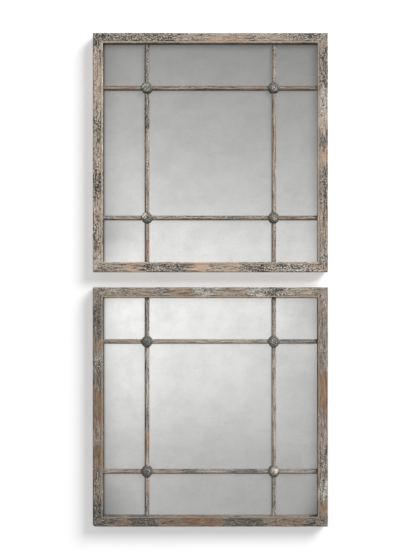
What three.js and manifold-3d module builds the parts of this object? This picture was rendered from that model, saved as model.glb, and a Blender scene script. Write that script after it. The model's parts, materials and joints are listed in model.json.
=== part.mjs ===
// A pair of window-pane mirrors that hang one above the other on a wall.
//
// Each mirror is a mitred wooden frame with two upright and two level glazing bars that are
// halved together and tenoned into the frame. A cast rosette is pinned on every crossing. The
// mirror glass and its backing board lie in the frame's rebate behind glazing points, and the
// back carries corner nails, two D-ring hangers and two wall bumpers.
//
// Millimetres. X is to the right, +Y goes into the wall and +Z is up. The wall's face is y = 0,
// and the origin is the middle of the strip of bare wall between the two mirrors.

import * as THREE from 'three';
import * as BufferGeometryUtils from 'three/addons/utils/BufferGeometryUtils.js';
import Module from 'manifold-3d';

// The pair
const MIRROR_WIDTH = 457;
const MIRROR_HEIGHT = 465;
const BARE_STRIP = 29; // wall that shows between the two mirrors

// Frame moulding in section
const FACE_WIDTH = 20; // outer edge to sight edge
const FRAME_DEPTH = 25;
const EDGE_ROUND = 2; // worn round on the outer front edge
const BEAD_WIDTH = 4.5; // half-round bead along the sight edge
const BEAD_SINK = 0.4; // top of the bead below the flat of the face
const RECESS = 12; // front of the frame to the front of the glass
const REBATE_WIDTH = 6; // how far the rebate runs under the sight edge

// Gaps
const CLEARANCE = 0.3; // round whatever is let into another piece
const MITRE_GAP = 0.3;
const GLASS_PLAY = 1; // round the glass and the board in the rebate

// Glass and board
const GLASS_THICKNESS = 3;
const BOARD_THICKNESS = 3;

// Glazing bars
const BAR_WIDTH = 10;
const BAR_DEPTH = 6;
const BAR_SIDE = 1.5; // upright part of the bar's side, below its round
const SIDE_PANE = 80; // glass between a stile and the nearest upright bar
const END_PANE = 81; // glass between a rail and the nearest level bar
const TENON_WIDTH = 6;
const TENON_THICKNESS = 2.5;
const TENON_LENGTH = 3.5;
const TENON_SET = 1.5; // back of the bar to the back of its tenon

// Rosettes
const ROSETTE_RADIUS = 11;
const ROSETTE_HEIGHT = 5;
const ROSETTE_RIM = 1.2; // height of the plain edge under the petals
const ROSETTE_PETALS = 6;
const PETAL_RELIEF = 0.6; // ridge of a petal above the valley beside it
const PETAL_STEPS = 4; // facets across one petal
const BOSS_RADIUS = 3.6; // button in the middle of the petals
const PIN_RADIUS = 1.2;
const PIN_LENGTH = 4.5;

// Corner nails: a bent steel strip across each mitre
const NAIL_THICKNESS = 0.8;
const NAIL_LEG = 6.5;
const NAIL_DEPTH = 8;
const NAIL_INSET = 9; // outer edges of the frame to the bend
const NAIL_SINK = 0.3; // below the back of the frame

// Glazing points: flat steel tabs, one in the middle of each side
const POINT_WIDTH = 6;
const POINT_THICKNESS = 0.6;
const POINT_IN_WOOD = 5;
const POINT_ON_BOARD = 8;
const POINT_TAPER = 2; // length of the sharp end

// D-ring hangers
const HANGER_DROP = 110; // top edge of the frame to the ring's pivot
const STRAP_WIDTH = 8;
const STRAP_SHEET = 0.8; // sheet steel, folded double
const STRAP_TAIL = 23; // pivot to the tail end
const SCREW_DROP = 18; // pivot to the screw
const RING_WIRE_RADIUS = 1;
const RING_WIDTH = 11.4; // between the centres of the ring's two sides
const RING_REACH = 12; // pivot to the centre of the wire at the far end
const RING_CORNER = 2; // bend where the ring leaves the strap
const RING_JOINT = 0.5; // slit between the wire's two ends, inside the strap's loop

// Hanger screws
const SCREW_RADIUS = 1.5;
const SCREW_LENGTH = 10;
const SCREW_POINT = 3;
const SCREW_HEAD_RADIUS = 3;
const SCREW_HEAD_HEIGHT = 2;
const SCREW_HEAD_EDGE = 0.9; // upright part of the head
const SCREW_CROSS_WIDTH = 0.8;
const SCREW_CROSS_LENGTH = 3.2;
const SCREW_CROSS_DEPTH = 1.1;

// Wall bumpers
const BUMPER_RADIUS = 5;
const BUMPER_HEIGHT = 5; // holds the frame this far off the wall
const BUMPER_CHAMFER = 1;
const BUMPER_INSET = 25; // side edge of the frame to the bumper's centre

// Levels along Y, from the wall forwards
const FRAME_BACK = -BUMPER_HEIGHT;
const FRAME_FRONT = FRAME_BACK - FRAME_DEPTH;
const GLASS_FRONT = FRAME_FRONT + RECESS;
const GLASS_BACK = GLASS_FRONT + GLASS_THICKNESS;
const BOARD_BACK = GLASS_BACK + BOARD_THICKNESS;
const BAR_BACK = GLASS_FRONT - CLEARANCE;
const BAR_FRONT = BAR_BACK - BAR_DEPTH;
const BAR_LAP = (BAR_BACK + BAR_FRONT) / 2;
const TENON_MIDDLE = BAR_BACK - TENON_SET - TENON_THICKNESS / 2;
const ROSETTE_BACK = BAR_FRONT - CLEARANCE;
const PIN_TIP = ROSETTE_BACK + PIN_LENGTH;

// Places across one mirror, from its middle
const WALL_WIDTH = FACE_WIDTH - REBATE_WIDTH; // wood behind the rebate
const OPENING_WIDTH = MIRROR_WIDTH - 2 * FACE_WIDTH;
const OPENING_HEIGHT = MIRROR_HEIGHT - 2 * FACE_WIDTH;
const UPRIGHT_BAR_X = OPENING_WIDTH / 2 - SIDE_PANE - BAR_WIDTH / 2;
const LEVEL_BAR_Z = OPENING_HEIGHT / 2 - END_PANE - BAR_WIDTH / 2;
const MIRROR_CENTRE_Z = (MIRROR_HEIGHT + BARE_STRIP) / 2;
const HANGER_X = MIRROR_WIDTH / 2 - WALL_WIDTH / 2;
const HANGER_Z = MIRROR_HEIGHT / 2 - HANGER_DROP;
const SCREW_Z = HANGER_Z - SCREW_DROP;

// The ring's wire turns in the strap's loop, which touches the back of the frame. Hanging down,
// the ring leans out far enough to clear the doubled strap.
const LOOP_HOLE_RADIUS = RING_WIRE_RADIUS + CLEARANCE;
const LOOP_RADIUS = LOOP_HOLE_RADIUS + STRAP_SHEET;
const STRAP_THICKNESS = 2 * STRAP_SHEET;
const PIVOT_Y = FRAME_BACK + LOOP_RADIUS;
const RING_STAND = STRAP_THICKNESS + CLEARANCE + RING_WIRE_RADIUS - LOOP_RADIUS;
const RING_LEAN = Math.asin(RING_STAND / RING_REACH);

const OVERSHOOT = 1; // how far a cutter passes the face it opens
const QUARTER_TURN = Math.PI / 2;

// Colours, roughness and metalness as photographed
const wornPaint = new THREE.MeshStandardMaterial({ color: 0x9a8f82, roughness: 0.75, metalness: 0 });
const brownPaint = new THREE.MeshStandardMaterial({ color: 0x84776a, roughness: 0.75, metalness: 0 });
const barPaint = new THREE.MeshStandardMaterial({ color: 0x8e867b, roughness: 0.7, metalness: 0 });
const castMetal = new THREE.MeshStandardMaterial({ color: 0x5c6058, roughness: 0.5, metalness: 0.6 });
const silvering = new THREE.MeshStandardMaterial({ color: 0xc4c6c6, roughness: 0.12, metalness: 0.95 });
const fibreBoard = new THREE.MeshStandardMaterial({ color: 0x7a5c40, roughness: 0.85, metalness: 0 });
const steel = new THREE.MeshStandardMaterial({ color: 0xa8a9a6, roughness: 0.4, metalness: 0.9 });
const rubber = new THREE.MeshStandardMaterial({ color: 0x2a2a2b, roughness: 0.9, metalness: 0 });

const wasm = await Module();
wasm.setup();

// Triangles of a geometry with shared vertices merged and those of no area left out.
function mergedTriangles(geometry) {
  const bare = geometry.clone();
  bare.deleteAttribute('normal');
  bare.deleteAttribute('uv');
  const merged = BufferGeometryUtils.mergeVertices(bare, 1e-4);
  const corners = merged.index.array;
  const kept = [];
  for (let i = 0; i < corners.length; i += 3) {
    const [a, b, c] = [corners[i], corners[i + 1], corners[i + 2]];
    if (a !== b && b !== c && c !== a) {
      kept.push(a, b, c);
    }
  }
  return { positions: merged.attributes.position.array, corners: kept };
}

function toSolid(geometry) {
  const { positions, corners } = mergedTriangles(geometry);
  return new wasm.Manifold(new wasm.Mesh({
    numProp: 3,
    vertProperties: new Float32Array(positions),
    triVerts: new Uint32Array(corners),
  }));
}

function toGeometry(solid) {
  const mesh = solid.getMesh();
  const indexed = new THREE.BufferGeometry();
  indexed.setAttribute('position', new THREE.BufferAttribute(new Float32Array(mesh.vertProperties), 3));
  indexed.setIndex(new THREE.BufferAttribute(new Uint32Array(mesh.triVerts), 1));
  const faceted = indexed.toNonIndexed();
  faceted.computeVertexNormals();
  return faceted;
}

function cut(geometry, cutters) {
  let solid = toSolid(geometry);
  for (const cutter of cutters) {
    solid = solid.subtract(toSolid(cutter));
  }
  return toGeometry(solid);
}

// A box between two corners.
function boxBetween([x0, y0, z0], [x1, y1, z1]) {
  const box = new THREE.BoxGeometry(x1 - x0, y1 - y0, z1 - z0);
  box.translate((x0 + x1) / 2, (y0 + y1) / 2, (z0 + z1) / 2);
  return box;
}

// A cylinder along Y at (x, z), from y0 to y1.
function rodAlongY(x, z, radius, y0, y1) {
  const rod = new THREE.CylinderGeometry(radius, radius, y1 - y0, 16);
  rod.translate(x, (y0 + y1) / 2, z);
  return rod;
}

// An outline drawn in the XZ plane, given thickness from y0 to y1.
function plateAcrossY(outline, y0, y1) {
  const plate = new THREE.ExtrudeGeometry(outline, { depth: y1 - y0, bevelEnabled: false, curveSegments: 5 });
  plate.rotateX(QUARTER_TURN);
  plate.translate(0, y1, 0);
  return plate;
}

// A section drawn as (across, Y), run along X and centred on it. mitre is how far each end is
// drawn in for every millimetre across, and drawIn is what both ends lose besides.
function runAlongX(section, length, mitre = 0, drawIn = 0) {
  const run = new THREE.ExtrudeGeometry(section, { depth: length, bevelEnabled: false, curveSegments: 3 });
  const position = run.attributes.position;
  for (let i = 0; i < position.count; i += 1) {
    const inset = drawIn + mitre * position.getX(i);
    const atStart = position.getZ(i) < length / 2;
    position.setZ(i, atStart ? inset : length - inset);
  }
  run.rotateY(-QUARTER_TURN);
  run.translate(length / 2, 0, 0);
  return run;
}

// Section of the frame moulding: across is 0 at the outer edge and FACE_WIDTH at the sight edge.
function mouldingSection() {
  const beadRadius = BEAD_WIDTH / 2;
  const quirk = FACE_WIDTH - BEAD_WIDTH;
  const beadMiddle = FRAME_FRONT + BEAD_SINK + beadRadius;
  const section = new THREE.Shape();
  section.moveTo(0, FRAME_BACK);
  section.lineTo(0, FRAME_FRONT + EDGE_ROUND);
  section.absarc(EDGE_ROUND, FRAME_FRONT + EDGE_ROUND, EDGE_ROUND, Math.PI, 1.5 * Math.PI, false);
  section.lineTo(quirk, FRAME_FRONT);
  section.lineTo(quirk, beadMiddle);
  section.absarc(quirk + beadRadius, beadMiddle, beadRadius, Math.PI, 2 * Math.PI, false);
  section.lineTo(FACE_WIDTH, GLASS_FRONT);
  section.lineTo(WALL_WIDTH, GLASS_FRONT);
  section.lineTo(WALL_WIDTH, FRAME_BACK);
  section.closePath();
  return section;
}

// Section of a glazing bar: a flat back, short upright sides and an elliptic round.
function barSection() {
  const half = BAR_WIDTH / 2;
  const round = BAR_BACK - BAR_SIDE;
  const section = new THREE.Shape();
  section.moveTo(half, BAR_BACK);
  section.lineTo(-half, BAR_BACK);
  section.lineTo(-half, round);
  section.absellipse(0, round, half, BAR_DEPTH - BAR_SIDE, Math.PI, 2 * Math.PI, false, 0);
  section.closePath();
  return section;
}

// Outline of a corner nail seen from behind: two legs at a right angle from the bend at the
// origin, grown on every side for the pocket it sits in.
function nailOutline(grow) {
  const half = NAIL_THICKNESS / 2 + grow;
  const tip = -NAIL_LEG - grow;
  const outline = new THREE.Shape();
  outline.moveTo(tip, -half);
  outline.lineTo(tip, half);
  outline.lineTo(half, half);
  outline.lineTo(half, tip);
  outline.lineTo(-half, tip);
  outline.lineTo(-half, -half);
  outline.closePath();
  return outline;
}

// Pocket for a corner nail at one end of a rail: end is -1 or 1 along the rail.
function nailPocket(length, end) {
  const deep = FRAME_BACK - NAIL_SINK - NAIL_DEPTH - CLEARANCE;
  const pocket = plateAcrossY(nailOutline(CLEARANCE), deep, FRAME_BACK + OVERSHOOT);
  pocket.rotateY(end < 0 ? 0 : -QUARTER_TURN);
  pocket.translate(end * (length / 2 - NAIL_INSET), 0, NAIL_INSET);
  return pocket;
}

// Mortise in the sight edge for a bar's tenon, at x along the rail.
function mortise(x) {
  const halfWidth = TENON_WIDTH / 2 + CLEARANCE;
  const halfThickness = TENON_THICKNESS / 2 + CLEARANCE;
  const bottom = FACE_WIDTH + CLEARANCE - TENON_LENGTH - 2 * CLEARANCE;
  return boxBetween(
    [x - halfWidth, TENON_MIDDLE - halfThickness, bottom],
    [x + halfWidth, TENON_MIDDLE + halfThickness, FACE_WIDTH + OVERSHOOT],
  );
}

// Slot in the rebate's wall for the glazing point in the middle of the rail.
function pointSlot() {
  const half = POINT_WIDTH / 2 + CLEARANCE;
  return boxBetween(
    [-half, BOARD_BACK - CLEARANCE, WALL_WIDTH - POINT_IN_WOOD - CLEARANCE],
    [half, BOARD_BACK + POINT_THICKNESS + CLEARANCE, WALL_WIDTH + OVERSHOOT],
  );
}

// Pilot hole for the hanger screw, at x along a stile.
function pilotHole(x) {
  const strapBack = FRAME_BACK + STRAP_THICKNESS;
  const bottom = strapBack - SCREW_LENGTH - CLEARANCE;
  return rodAlongY(x, WALL_WIDTH / 2, SCREW_RADIUS + CLEARANCE, bottom, FRAME_BACK + OVERSHOOT);
}

// One side of the frame in its own frame: X along it, Z from the outer edge inwards.
// barOffset places the two bars that tenon into it. pilotHoles are where screws enter.
function frameSide(length, barOffset, pilotHoles = []) {
  const side = runAlongX(mouldingSection(), length, 1, MITRE_GAP / Math.SQRT2);
  return cut(side, [
    nailPocket(length, -1),
    nailPocket(length, 1),
    mortise(-barOffset),
    mortise(barOffset),
    pointSlot(),
    ...pilotHoles.map(pilotHole),
  ]);
}

// One glazing bar along X, tenoned at both ends. It is halved at plus and minus crossing:
// an upright bar keeps its front there and a level bar its back.
function glazingBar(opening, crossing, keepsFront) {
  const shoulder = opening / 2 - CLEARANCE;
  let bar = toSolid(runAlongX(barSection(), 2 * shoulder));
  for (const end of [-1, 1]) {
    const root = end * (shoulder - OVERSHOOT);
    const tip = end * (shoulder + TENON_LENGTH);
    const tenon = boxBetween(
      [Math.min(root, tip), TENON_MIDDLE - TENON_THICKNESS / 2, -TENON_WIDTH / 2],
      [Math.max(root, tip), TENON_MIDDLE + TENON_THICKNESS / 2, TENON_WIDTH / 2],
    );
    bar = bar.add(toSolid(tenon));
  }
  const lapHalf = BAR_WIDTH / 2 + CLEARANCE;
  const lapLow = keepsFront ? BAR_LAP - CLEARANCE / 2 : BAR_FRONT - OVERSHOOT;
  const lapHigh = keepsFront ? BAR_BACK + OVERSHOOT : BAR_LAP + CLEARANCE / 2;
  for (const x of [-crossing, crossing]) {
    const lap = boxBetween([x - lapHalf, lapLow, -BAR_WIDTH], [x + lapHalf, lapHigh, BAR_WIDTH]);
    const pinHole = rodAlongY(x, 0, PIN_RADIUS + CLEARANCE, BAR_FRONT - OVERSHOOT, PIN_TIP + CLEARANCE);
    bar = bar.subtract(toSolid(lap)).subtract(toSolid(pinHole));
  }
  return toGeometry(bar);
}

// A rosette with its pin, turned about Y with its back at y = 0 and its front towards -Y.
// The petals' ridges rise and fall with the cosine of the angle times their number.
function rosette() {
  const petalMiddle = (BOSS_RADIUS + ROSETTE_RADIUS) / 2;
  const petalHeight = ROSETTE_HEIGHT * 0.66;
  const profile = [
    [0, -ROSETTE_HEIGHT],
    [BOSS_RADIUS * 0.6, -ROSETTE_HEIGHT * 0.93],
    [BOSS_RADIUS, -ROSETTE_HEIGHT * 0.5],
    [petalMiddle, -petalHeight],
    [ROSETTE_RADIUS * 0.9, -ROSETTE_RIM - 0.8],
    [ROSETTE_RADIUS, -ROSETTE_RIM],
    [ROSETTE_RADIUS, 0],
    [PIN_RADIUS, 0],
    [PIN_RADIUS, PIN_LENGTH],
    [0, PIN_LENGTH],
  ];
  const outline = profile.map(([r, y]) => new THREE.Vector2(r, y));
  const turned = new THREE.LatheGeometry(outline, ROSETTE_PETALS * PETAL_STEPS);
  const position = turned.attributes.position;
  for (let i = 0; i < position.count; i += 1) {
    const [x, y, z] = [position.getX(i), position.getY(i), position.getZ(i)];
    const radius = Math.hypot(x, z);
    const onPetals = y < -ROSETTE_RIM && radius > BOSS_RADIUS * 1.01;
    if (onPetals) {
      const ridge = Math.cos(ROSETTE_PETALS * Math.atan2(x, z));
      position.setY(i, y - PETAL_RELIEF / 2 * ridge);
    }
  }
  return turned;
}

// A glazing point in the frame of its rail: X along the rail, Z from the outer edge inwards.
function glazingPoint() {
  const half = POINT_WIDTH / 2;
  const tip = WALL_WIDTH - POINT_IN_WOOD;
  const outline = new THREE.Shape();
  outline.moveTo(0, tip);
  outline.lineTo(half, tip + POINT_TAPER);
  outline.lineTo(half, WALL_WIDTH + POINT_ON_BOARD);
  outline.lineTo(-half, WALL_WIDTH + POINT_ON_BOARD);
  outline.lineTo(-half, tip + POINT_TAPER);
  outline.closePath();
  return plateAcrossY(outline, BOARD_BACK, BOARD_BACK + POINT_THICKNESS);
}

// A hanger strap about its pivot: sheet folded double below a loop for the ring's wire.
function hangerStrap() {
  const side = new THREE.Shape();
  const meet = Math.sqrt(LOOP_RADIUS ** 2 - (STRAP_THICKNESS - LOOP_RADIUS) ** 2);
  const meetAngle = Math.atan2(-meet, STRAP_THICKNESS - LOOP_RADIUS);
  side.moveTo(-LOOP_RADIUS, 0);
  side.lineTo(-LOOP_RADIUS, -STRAP_TAIL);
  side.lineTo(STRAP_THICKNESS - LOOP_RADIUS, -STRAP_TAIL);
  side.lineTo(STRAP_THICKNESS - LOOP_RADIUS, -meet);
  side.absarc(0, 0, LOOP_RADIUS, meetAngle, Math.PI, false);
  const hole = new THREE.Path();
  hole.absarc(0, 0, LOOP_HOLE_RADIUS, 0, 2 * Math.PI, false);
  side.holes.push(hole);
  const folded = new THREE.ExtrudeGeometry(side, { depth: STRAP_WIDTH, bevelEnabled: false, curveSegments: 8 });
  // Section (Y, Z) run along X
  folded.rotateY(QUARTER_TURN);
  folded.rotateX(QUARTER_TURN);
  folded.translate(-STRAP_WIDTH / 2, 0, 0);
  const half = STRAP_WIDTH / 2;
  const face = new THREE.Shape();
  face.moveTo(half, LOOP_RADIUS + OVERSHOOT);
  face.lineTo(-half, LOOP_RADIUS + OVERSHOOT);
  face.lineTo(-half, half - STRAP_TAIL);
  face.absarc(0, half - STRAP_TAIL, half, Math.PI, 2 * Math.PI, false);
  face.closePath();
  const front = plateAcrossY(face, -LOOP_RADIUS - OVERSHOOT, LOOP_RADIUS + OVERSHOOT);
  const reach = LOOP_RADIUS + OVERSHOOT;
  const screwHole = rodAlongY(0, -SCREW_DROP, SCREW_RADIUS + CLEARANCE, -reach, reach);
  return toGeometry(toSolid(folded).intersect(toSolid(front)).subtract(toSolid(screwHole)));
}

// Centre line of a D-ring about its pivot, hanging down: out along the pivot from the slit in
// the middle, round a corner, down a side, round the bow and back the same way.
class RingLine extends THREE.Curve {
  constructor() {
    super();
    const side = RING_WIDTH / 2;
    const bow = side - RING_REACH;
    this.path = new THREE.Path();
    this.path.moveTo(RING_JOINT / 2, 0);
    this.path.lineTo(side - RING_CORNER, 0);
    this.path.absarc(side - RING_CORNER, -RING_CORNER, RING_CORNER, Math.PI / 2, 0, true);
    this.path.lineTo(side, bow);
    this.path.absarc(0, bow, side, 0, -Math.PI, true);
    this.path.lineTo(-side, -RING_CORNER);
    this.path.absarc(RING_CORNER - side, -RING_CORNER, RING_CORNER, Math.PI, Math.PI / 2, true);
    this.path.lineTo(-RING_JOINT / 2, 0);
  }

  getPoint(t, target = new THREE.Vector3()) {
    const flat = this.path.getPoint(t);
    return target.set(flat.x, 0, flat.y);
  }
}

function hangerRing() {
  const wire = new THREE.Shape();
  const sides = 8;
  for (let k = 0; k < sides; k += 1) {
    const angle = 2 * Math.PI * (k + 0.5) / sides;
    const point = [RING_WIRE_RADIUS * Math.cos(angle), RING_WIRE_RADIUS * Math.sin(angle)];
    if (k === 0) {
      wire.moveTo(...point);
    } else {
      wire.lineTo(...point);
    }
  }
  wire.closePath();
  return new THREE.ExtrudeGeometry(wire, { extrudePath: new RingLine(), steps: 28 });
}

// A pan-head screw along Y: the head's underside is y = 0 and the point is towards -Y.
function hangerScrew() {
  const profile = [
    [0, -SCREW_LENGTH],
    [SCREW_RADIUS, SCREW_POINT - SCREW_LENGTH],
    [SCREW_RADIUS, 0],
    [SCREW_HEAD_RADIUS, 0],
    [SCREW_HEAD_RADIUS, SCREW_HEAD_EDGE],
    [SCREW_HEAD_RADIUS * 0.7, SCREW_HEAD_HEIGHT * 0.9],
    [0, SCREW_HEAD_HEIGHT],
  ];
  const turned = new THREE.LatheGeometry(profile.map(([r, y]) => new THREE.Vector2(r, y)), 16);
  const half = SCREW_CROSS_WIDTH / 2;
  const long = SCREW_CROSS_LENGTH / 2;
  const floor = SCREW_HEAD_HEIGHT - SCREW_CROSS_DEPTH;
  return cut(turned, [
    boxBetween([-half, floor, -long], [half, SCREW_HEAD_HEIGHT + OVERSHOOT, long]),
    boxBetween([-long, floor, -half], [long, SCREW_HEAD_HEIGHT + OVERSHOOT, half]),
  ]);
}

// A wall bumper along Y, standing on y = 0 and reaching BUMPER_HEIGHT towards the wall.
function wallBumper() {
  const profile = [
    [0, 0],
    [BUMPER_RADIUS, 0],
    [BUMPER_RADIUS, BUMPER_HEIGHT - BUMPER_CHAMFER],
    [BUMPER_RADIUS - BUMPER_CHAMFER, BUMPER_HEIGHT],
    [0, BUMPER_HEIGHT],
  ];
  return new THREE.LatheGeometry(profile.map(([r, y]) => new THREE.Vector2(r, y)), 16);
}

// One mirror. prefix starts the names of its pieces, and paint is the finish of its frame.
function windowPaneMirror(prefix, paint) {
  const mirror = new THREE.Group();

  function place(name, geometry, material, position = [0, 0, 0], turn = 0) {
    const mesh = new THREE.Mesh(geometry, material);
    mesh.name = `${prefix}_${name}`;
    mesh.position.set(...position);
    mesh.rotation.y = turn;
    mirror.add(mesh);
    return mesh;
  }

  // Where each side of the frame lies: the middle of its outer edge, and its turn about Y.
  const sides = {
    top: { at: [0, 0, MIRROR_HEIGHT / 2], turn: Math.PI },
    bottom: { at: [0, 0, -MIRROR_HEIGHT / 2], turn: 0 },
    left: { at: [-MIRROR_WIDTH / 2, 0, 0], turn: QUARTER_TURN },
    right: { at: [MIRROR_WIDTH / 2, 0, 0], turn: -QUARTER_TURN },
  };
  const { top, bottom, left, right } = sides;
  const rail = frameSide(MIRROR_WIDTH, UPRIGHT_BAR_X);
  place('top_rail', rail, paint, top.at, top.turn);
  place('bottom_rail', rail, paint, bottom.at, bottom.turn);
  place('left_stile', frameSide(MIRROR_HEIGHT, LEVEL_BAR_Z, [-SCREW_Z]), paint, left.at, left.turn);
  place('right_stile', frameSide(MIRROR_HEIGHT, LEVEL_BAR_Z, [SCREW_Z]), paint, right.at, right.turn);

  const uprightBar = glazingBar(OPENING_HEIGHT, LEVEL_BAR_Z, true);
  const levelBar = glazingBar(OPENING_WIDTH, UPRIGHT_BAR_X, false);
  place('left_glazing_bar', uprightBar, barPaint, [-UPRIGHT_BAR_X, 0, 0], QUARTER_TURN);
  place('right_glazing_bar', uprightBar, barPaint, [UPRIGHT_BAR_X, 0, 0], QUARTER_TURN);
  place('top_glazing_bar', levelBar, barPaint, [0, 0, LEVEL_BAR_Z]);
  place('bottom_glazing_bar', levelBar, barPaint, [0, 0, -LEVEL_BAR_Z]);

  const flower = rosette();
  const nail = plateAcrossY(nailOutline(0), -NAIL_DEPTH, 0);
  const nailX = MIRROR_WIDTH / 2 - NAIL_INSET;
  const nailZ = MIRROR_HEIGHT / 2 - NAIL_INSET;
  const corners = {
    top_left: { x: -1, z: 1, turn: QUARTER_TURN },
    top_right: { x: 1, z: 1, turn: Math.PI },
    bottom_left: { x: -1, z: -1, turn: 0 },
    bottom_right: { x: 1, z: -1, turn: -QUARTER_TURN },
  };
  for (const [corner, { x, z, turn }] of Object.entries(corners)) {
    place(`${corner}_rosette`, flower, castMetal, [x * UPRIGHT_BAR_X, ROSETTE_BACK, z * LEVEL_BAR_Z]);
    place(`${corner}_corner_nail`, nail, steel, [x * nailX, FRAME_BACK - NAIL_SINK, z * nailZ], turn);
  }

  const sheetWidth = OPENING_WIDTH + 2 * (REBATE_WIDTH - GLASS_PLAY);
  const sheetHeight = OPENING_HEIGHT + 2 * (REBATE_WIDTH - GLASS_PLAY);
  const glass = boxBetween(
    [-sheetWidth / 2, GLASS_FRONT, -sheetHeight / 2],
    [sheetWidth / 2, GLASS_BACK, sheetHeight / 2],
  );
  place('mirror_glass', glass, silvering);
  const board = boxBetween(
    [-sheetWidth / 2, GLASS_BACK, -sheetHeight / 2],
    [sheetWidth / 2, BOARD_BACK, sheetHeight / 2],
  );
  place('backing_board', board, fibreBoard);

  const point = glazingPoint();
  for (const [side, { at, turn }] of Object.entries(sides)) {
    place(`${side}_glazing_point`, point, steel, at, turn);
  }

  const strap = hangerStrap();
  const ring = hangerRing();
  const screw = hangerScrew();
  const bumper = wallBumper();
  for (const [side, sign] of [['left', -1], ['right', 1]]) {
    const x = sign * HANGER_X;
    place(`${side}_hanger_strap`, strap, steel, [x, PIVOT_Y, HANGER_Z]);
    const swung = place(`${side}_hanger_ring`, ring, steel, [x, PIVOT_Y, HANGER_Z]);
    swung.rotation.x = RING_LEAN;
    place(`${side}_hanger_screw`, screw, steel, [x, FRAME_BACK + STRAP_THICKNESS, SCREW_Z]);
    const bumperX = sign * (MIRROR_WIDTH / 2 - BUMPER_INSET);
    const bumperZ = WALL_WIDTH / 2 - MIRROR_HEIGHT / 2;
    place(`${side}_wall_bumper`, bumper, rubber, [bumperX, FRAME_BACK, bumperZ]);
  }
  return mirror;
}

const pair = new THREE.Group();
const upper = windowPaneMirror('upper', wornPaint);
upper.position.z = MIRROR_CENTRE_Z;
const lower = windowPaneMirror('lower', brownPaint);
lower.position.z = -MIRROR_CENTRE_Z;
pair.add(upper, lower);

export default pair;
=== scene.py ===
"""A pair of window-pane mirrors with rubbed and crackled paint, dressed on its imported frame.

Every surface is worked out with numpy from the frame's own boxes. Profiles and levels are in
millimetres and become metres where a mesh is made. X is to the right, +Y goes into the wall
and +Z is up. A side of a frame is described by three coordinates: along it, inward from its
outer edge, and Y. Fields of a side are arrays (stations along it, points of its section).
"""
import json
import math
from contextlib import contextmanager

import bmesh
import bpy
import numpy as np
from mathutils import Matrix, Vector


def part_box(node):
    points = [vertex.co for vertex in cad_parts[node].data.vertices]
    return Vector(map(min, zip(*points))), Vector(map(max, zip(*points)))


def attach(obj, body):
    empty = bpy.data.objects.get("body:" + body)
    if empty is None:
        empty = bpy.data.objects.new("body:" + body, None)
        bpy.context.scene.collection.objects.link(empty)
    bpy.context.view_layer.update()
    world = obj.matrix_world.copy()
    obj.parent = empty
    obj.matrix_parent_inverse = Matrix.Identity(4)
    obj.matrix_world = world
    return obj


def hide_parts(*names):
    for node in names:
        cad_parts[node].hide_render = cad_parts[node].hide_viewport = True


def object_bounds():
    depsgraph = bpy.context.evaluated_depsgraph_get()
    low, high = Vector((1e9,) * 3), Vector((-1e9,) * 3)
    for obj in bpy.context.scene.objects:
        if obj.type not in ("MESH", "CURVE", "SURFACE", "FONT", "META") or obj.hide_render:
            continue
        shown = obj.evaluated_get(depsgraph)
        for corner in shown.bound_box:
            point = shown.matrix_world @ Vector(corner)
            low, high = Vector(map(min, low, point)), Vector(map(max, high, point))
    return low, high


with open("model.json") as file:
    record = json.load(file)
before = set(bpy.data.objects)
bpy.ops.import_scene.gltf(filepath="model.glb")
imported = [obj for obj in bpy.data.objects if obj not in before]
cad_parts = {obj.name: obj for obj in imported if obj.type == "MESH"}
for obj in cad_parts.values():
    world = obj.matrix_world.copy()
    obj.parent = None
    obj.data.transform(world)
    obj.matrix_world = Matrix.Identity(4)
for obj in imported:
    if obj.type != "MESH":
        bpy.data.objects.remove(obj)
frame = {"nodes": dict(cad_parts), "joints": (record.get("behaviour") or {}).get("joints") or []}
cad_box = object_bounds()

MM = 0.001
LEVEL = ("top", "bottom")
UPRIGHT = ("left", "right")

# Photograph
PHOTO_WIDTH = 420
PHOTO_HEIGHT = 560
PAIR_MIDDLE_PX = (210.32, 279.78)  # where the middle of the pair falls in the photograph
PX_MM = 1.9408  # millimetres a pixel at the fronts of the frames
CAMERA_DISTANCE = 2400.0  # from the fronts of the frames
SENSOR_MM = 36.0

# Frame moulding, as in the solids
EDGE_ROUND = 2.0  # radius of the outer edge
BEAD_WIDTH = 4.5
BEAD_SINK = 0.4  # from the face down to the top of the bead
QUIRK_SLOPE = 0.15  # how far inward the quirk's wall leans
REBATE_WIDTH = 6.0
JOINT_LINE = 0.12  # open line that is left in a painted mitre
NAIL_SHEET = 0.8  # thickness of a corner nail
DRIVE_GAP = 0.12  # room round a driven nail or point

# Glazing bars
BAR_SIDE = 1.5  # height of the straight sides
BAR_END_GAP = 0.05  # between a bar and the frame
LAP_GAP = 0.1  # room round a halved crossing
TENON_WIDTH = 6.0
TENON_THICKNESS = 2.5
TENON_SET = 1.5  # from the bar's back to the tenon's
TENON_ROOT = 1.0  # how far the tenon's block starts inside the bar

# Rosettes
PETALS = 6
BUTTON = 0.17  # share of the radius
SCALLOP = 0.035  # share of the radius lost between the petals
PIN_RADIUS = 1.2
PIN_LENGTH = 4.5
PIN_GAP = 0.1  # round the pin in its hole
PIN_FLOOR = 1.6  # wood left behind the hole
# Round the rim to the flat back: share of the rim's radius, share of the height
ROSETTE_RIM = ((0.995, 0.17), (1.0, 0.12), (0.995, 0.02), (0.97, 0.0))

# Hanger rings and wall bumpers
WIRE_RADIUS = 1.0
RING_REACH = 12.0  # from the middle of the straight wire to the start of the bow's round
RING_CORNER = 2.0
RING_SLIT = 0.5  # between the wire's two ends
BUMPER_SHOULDER = 1.0
BUMPER_FOOT = 0.3

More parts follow.
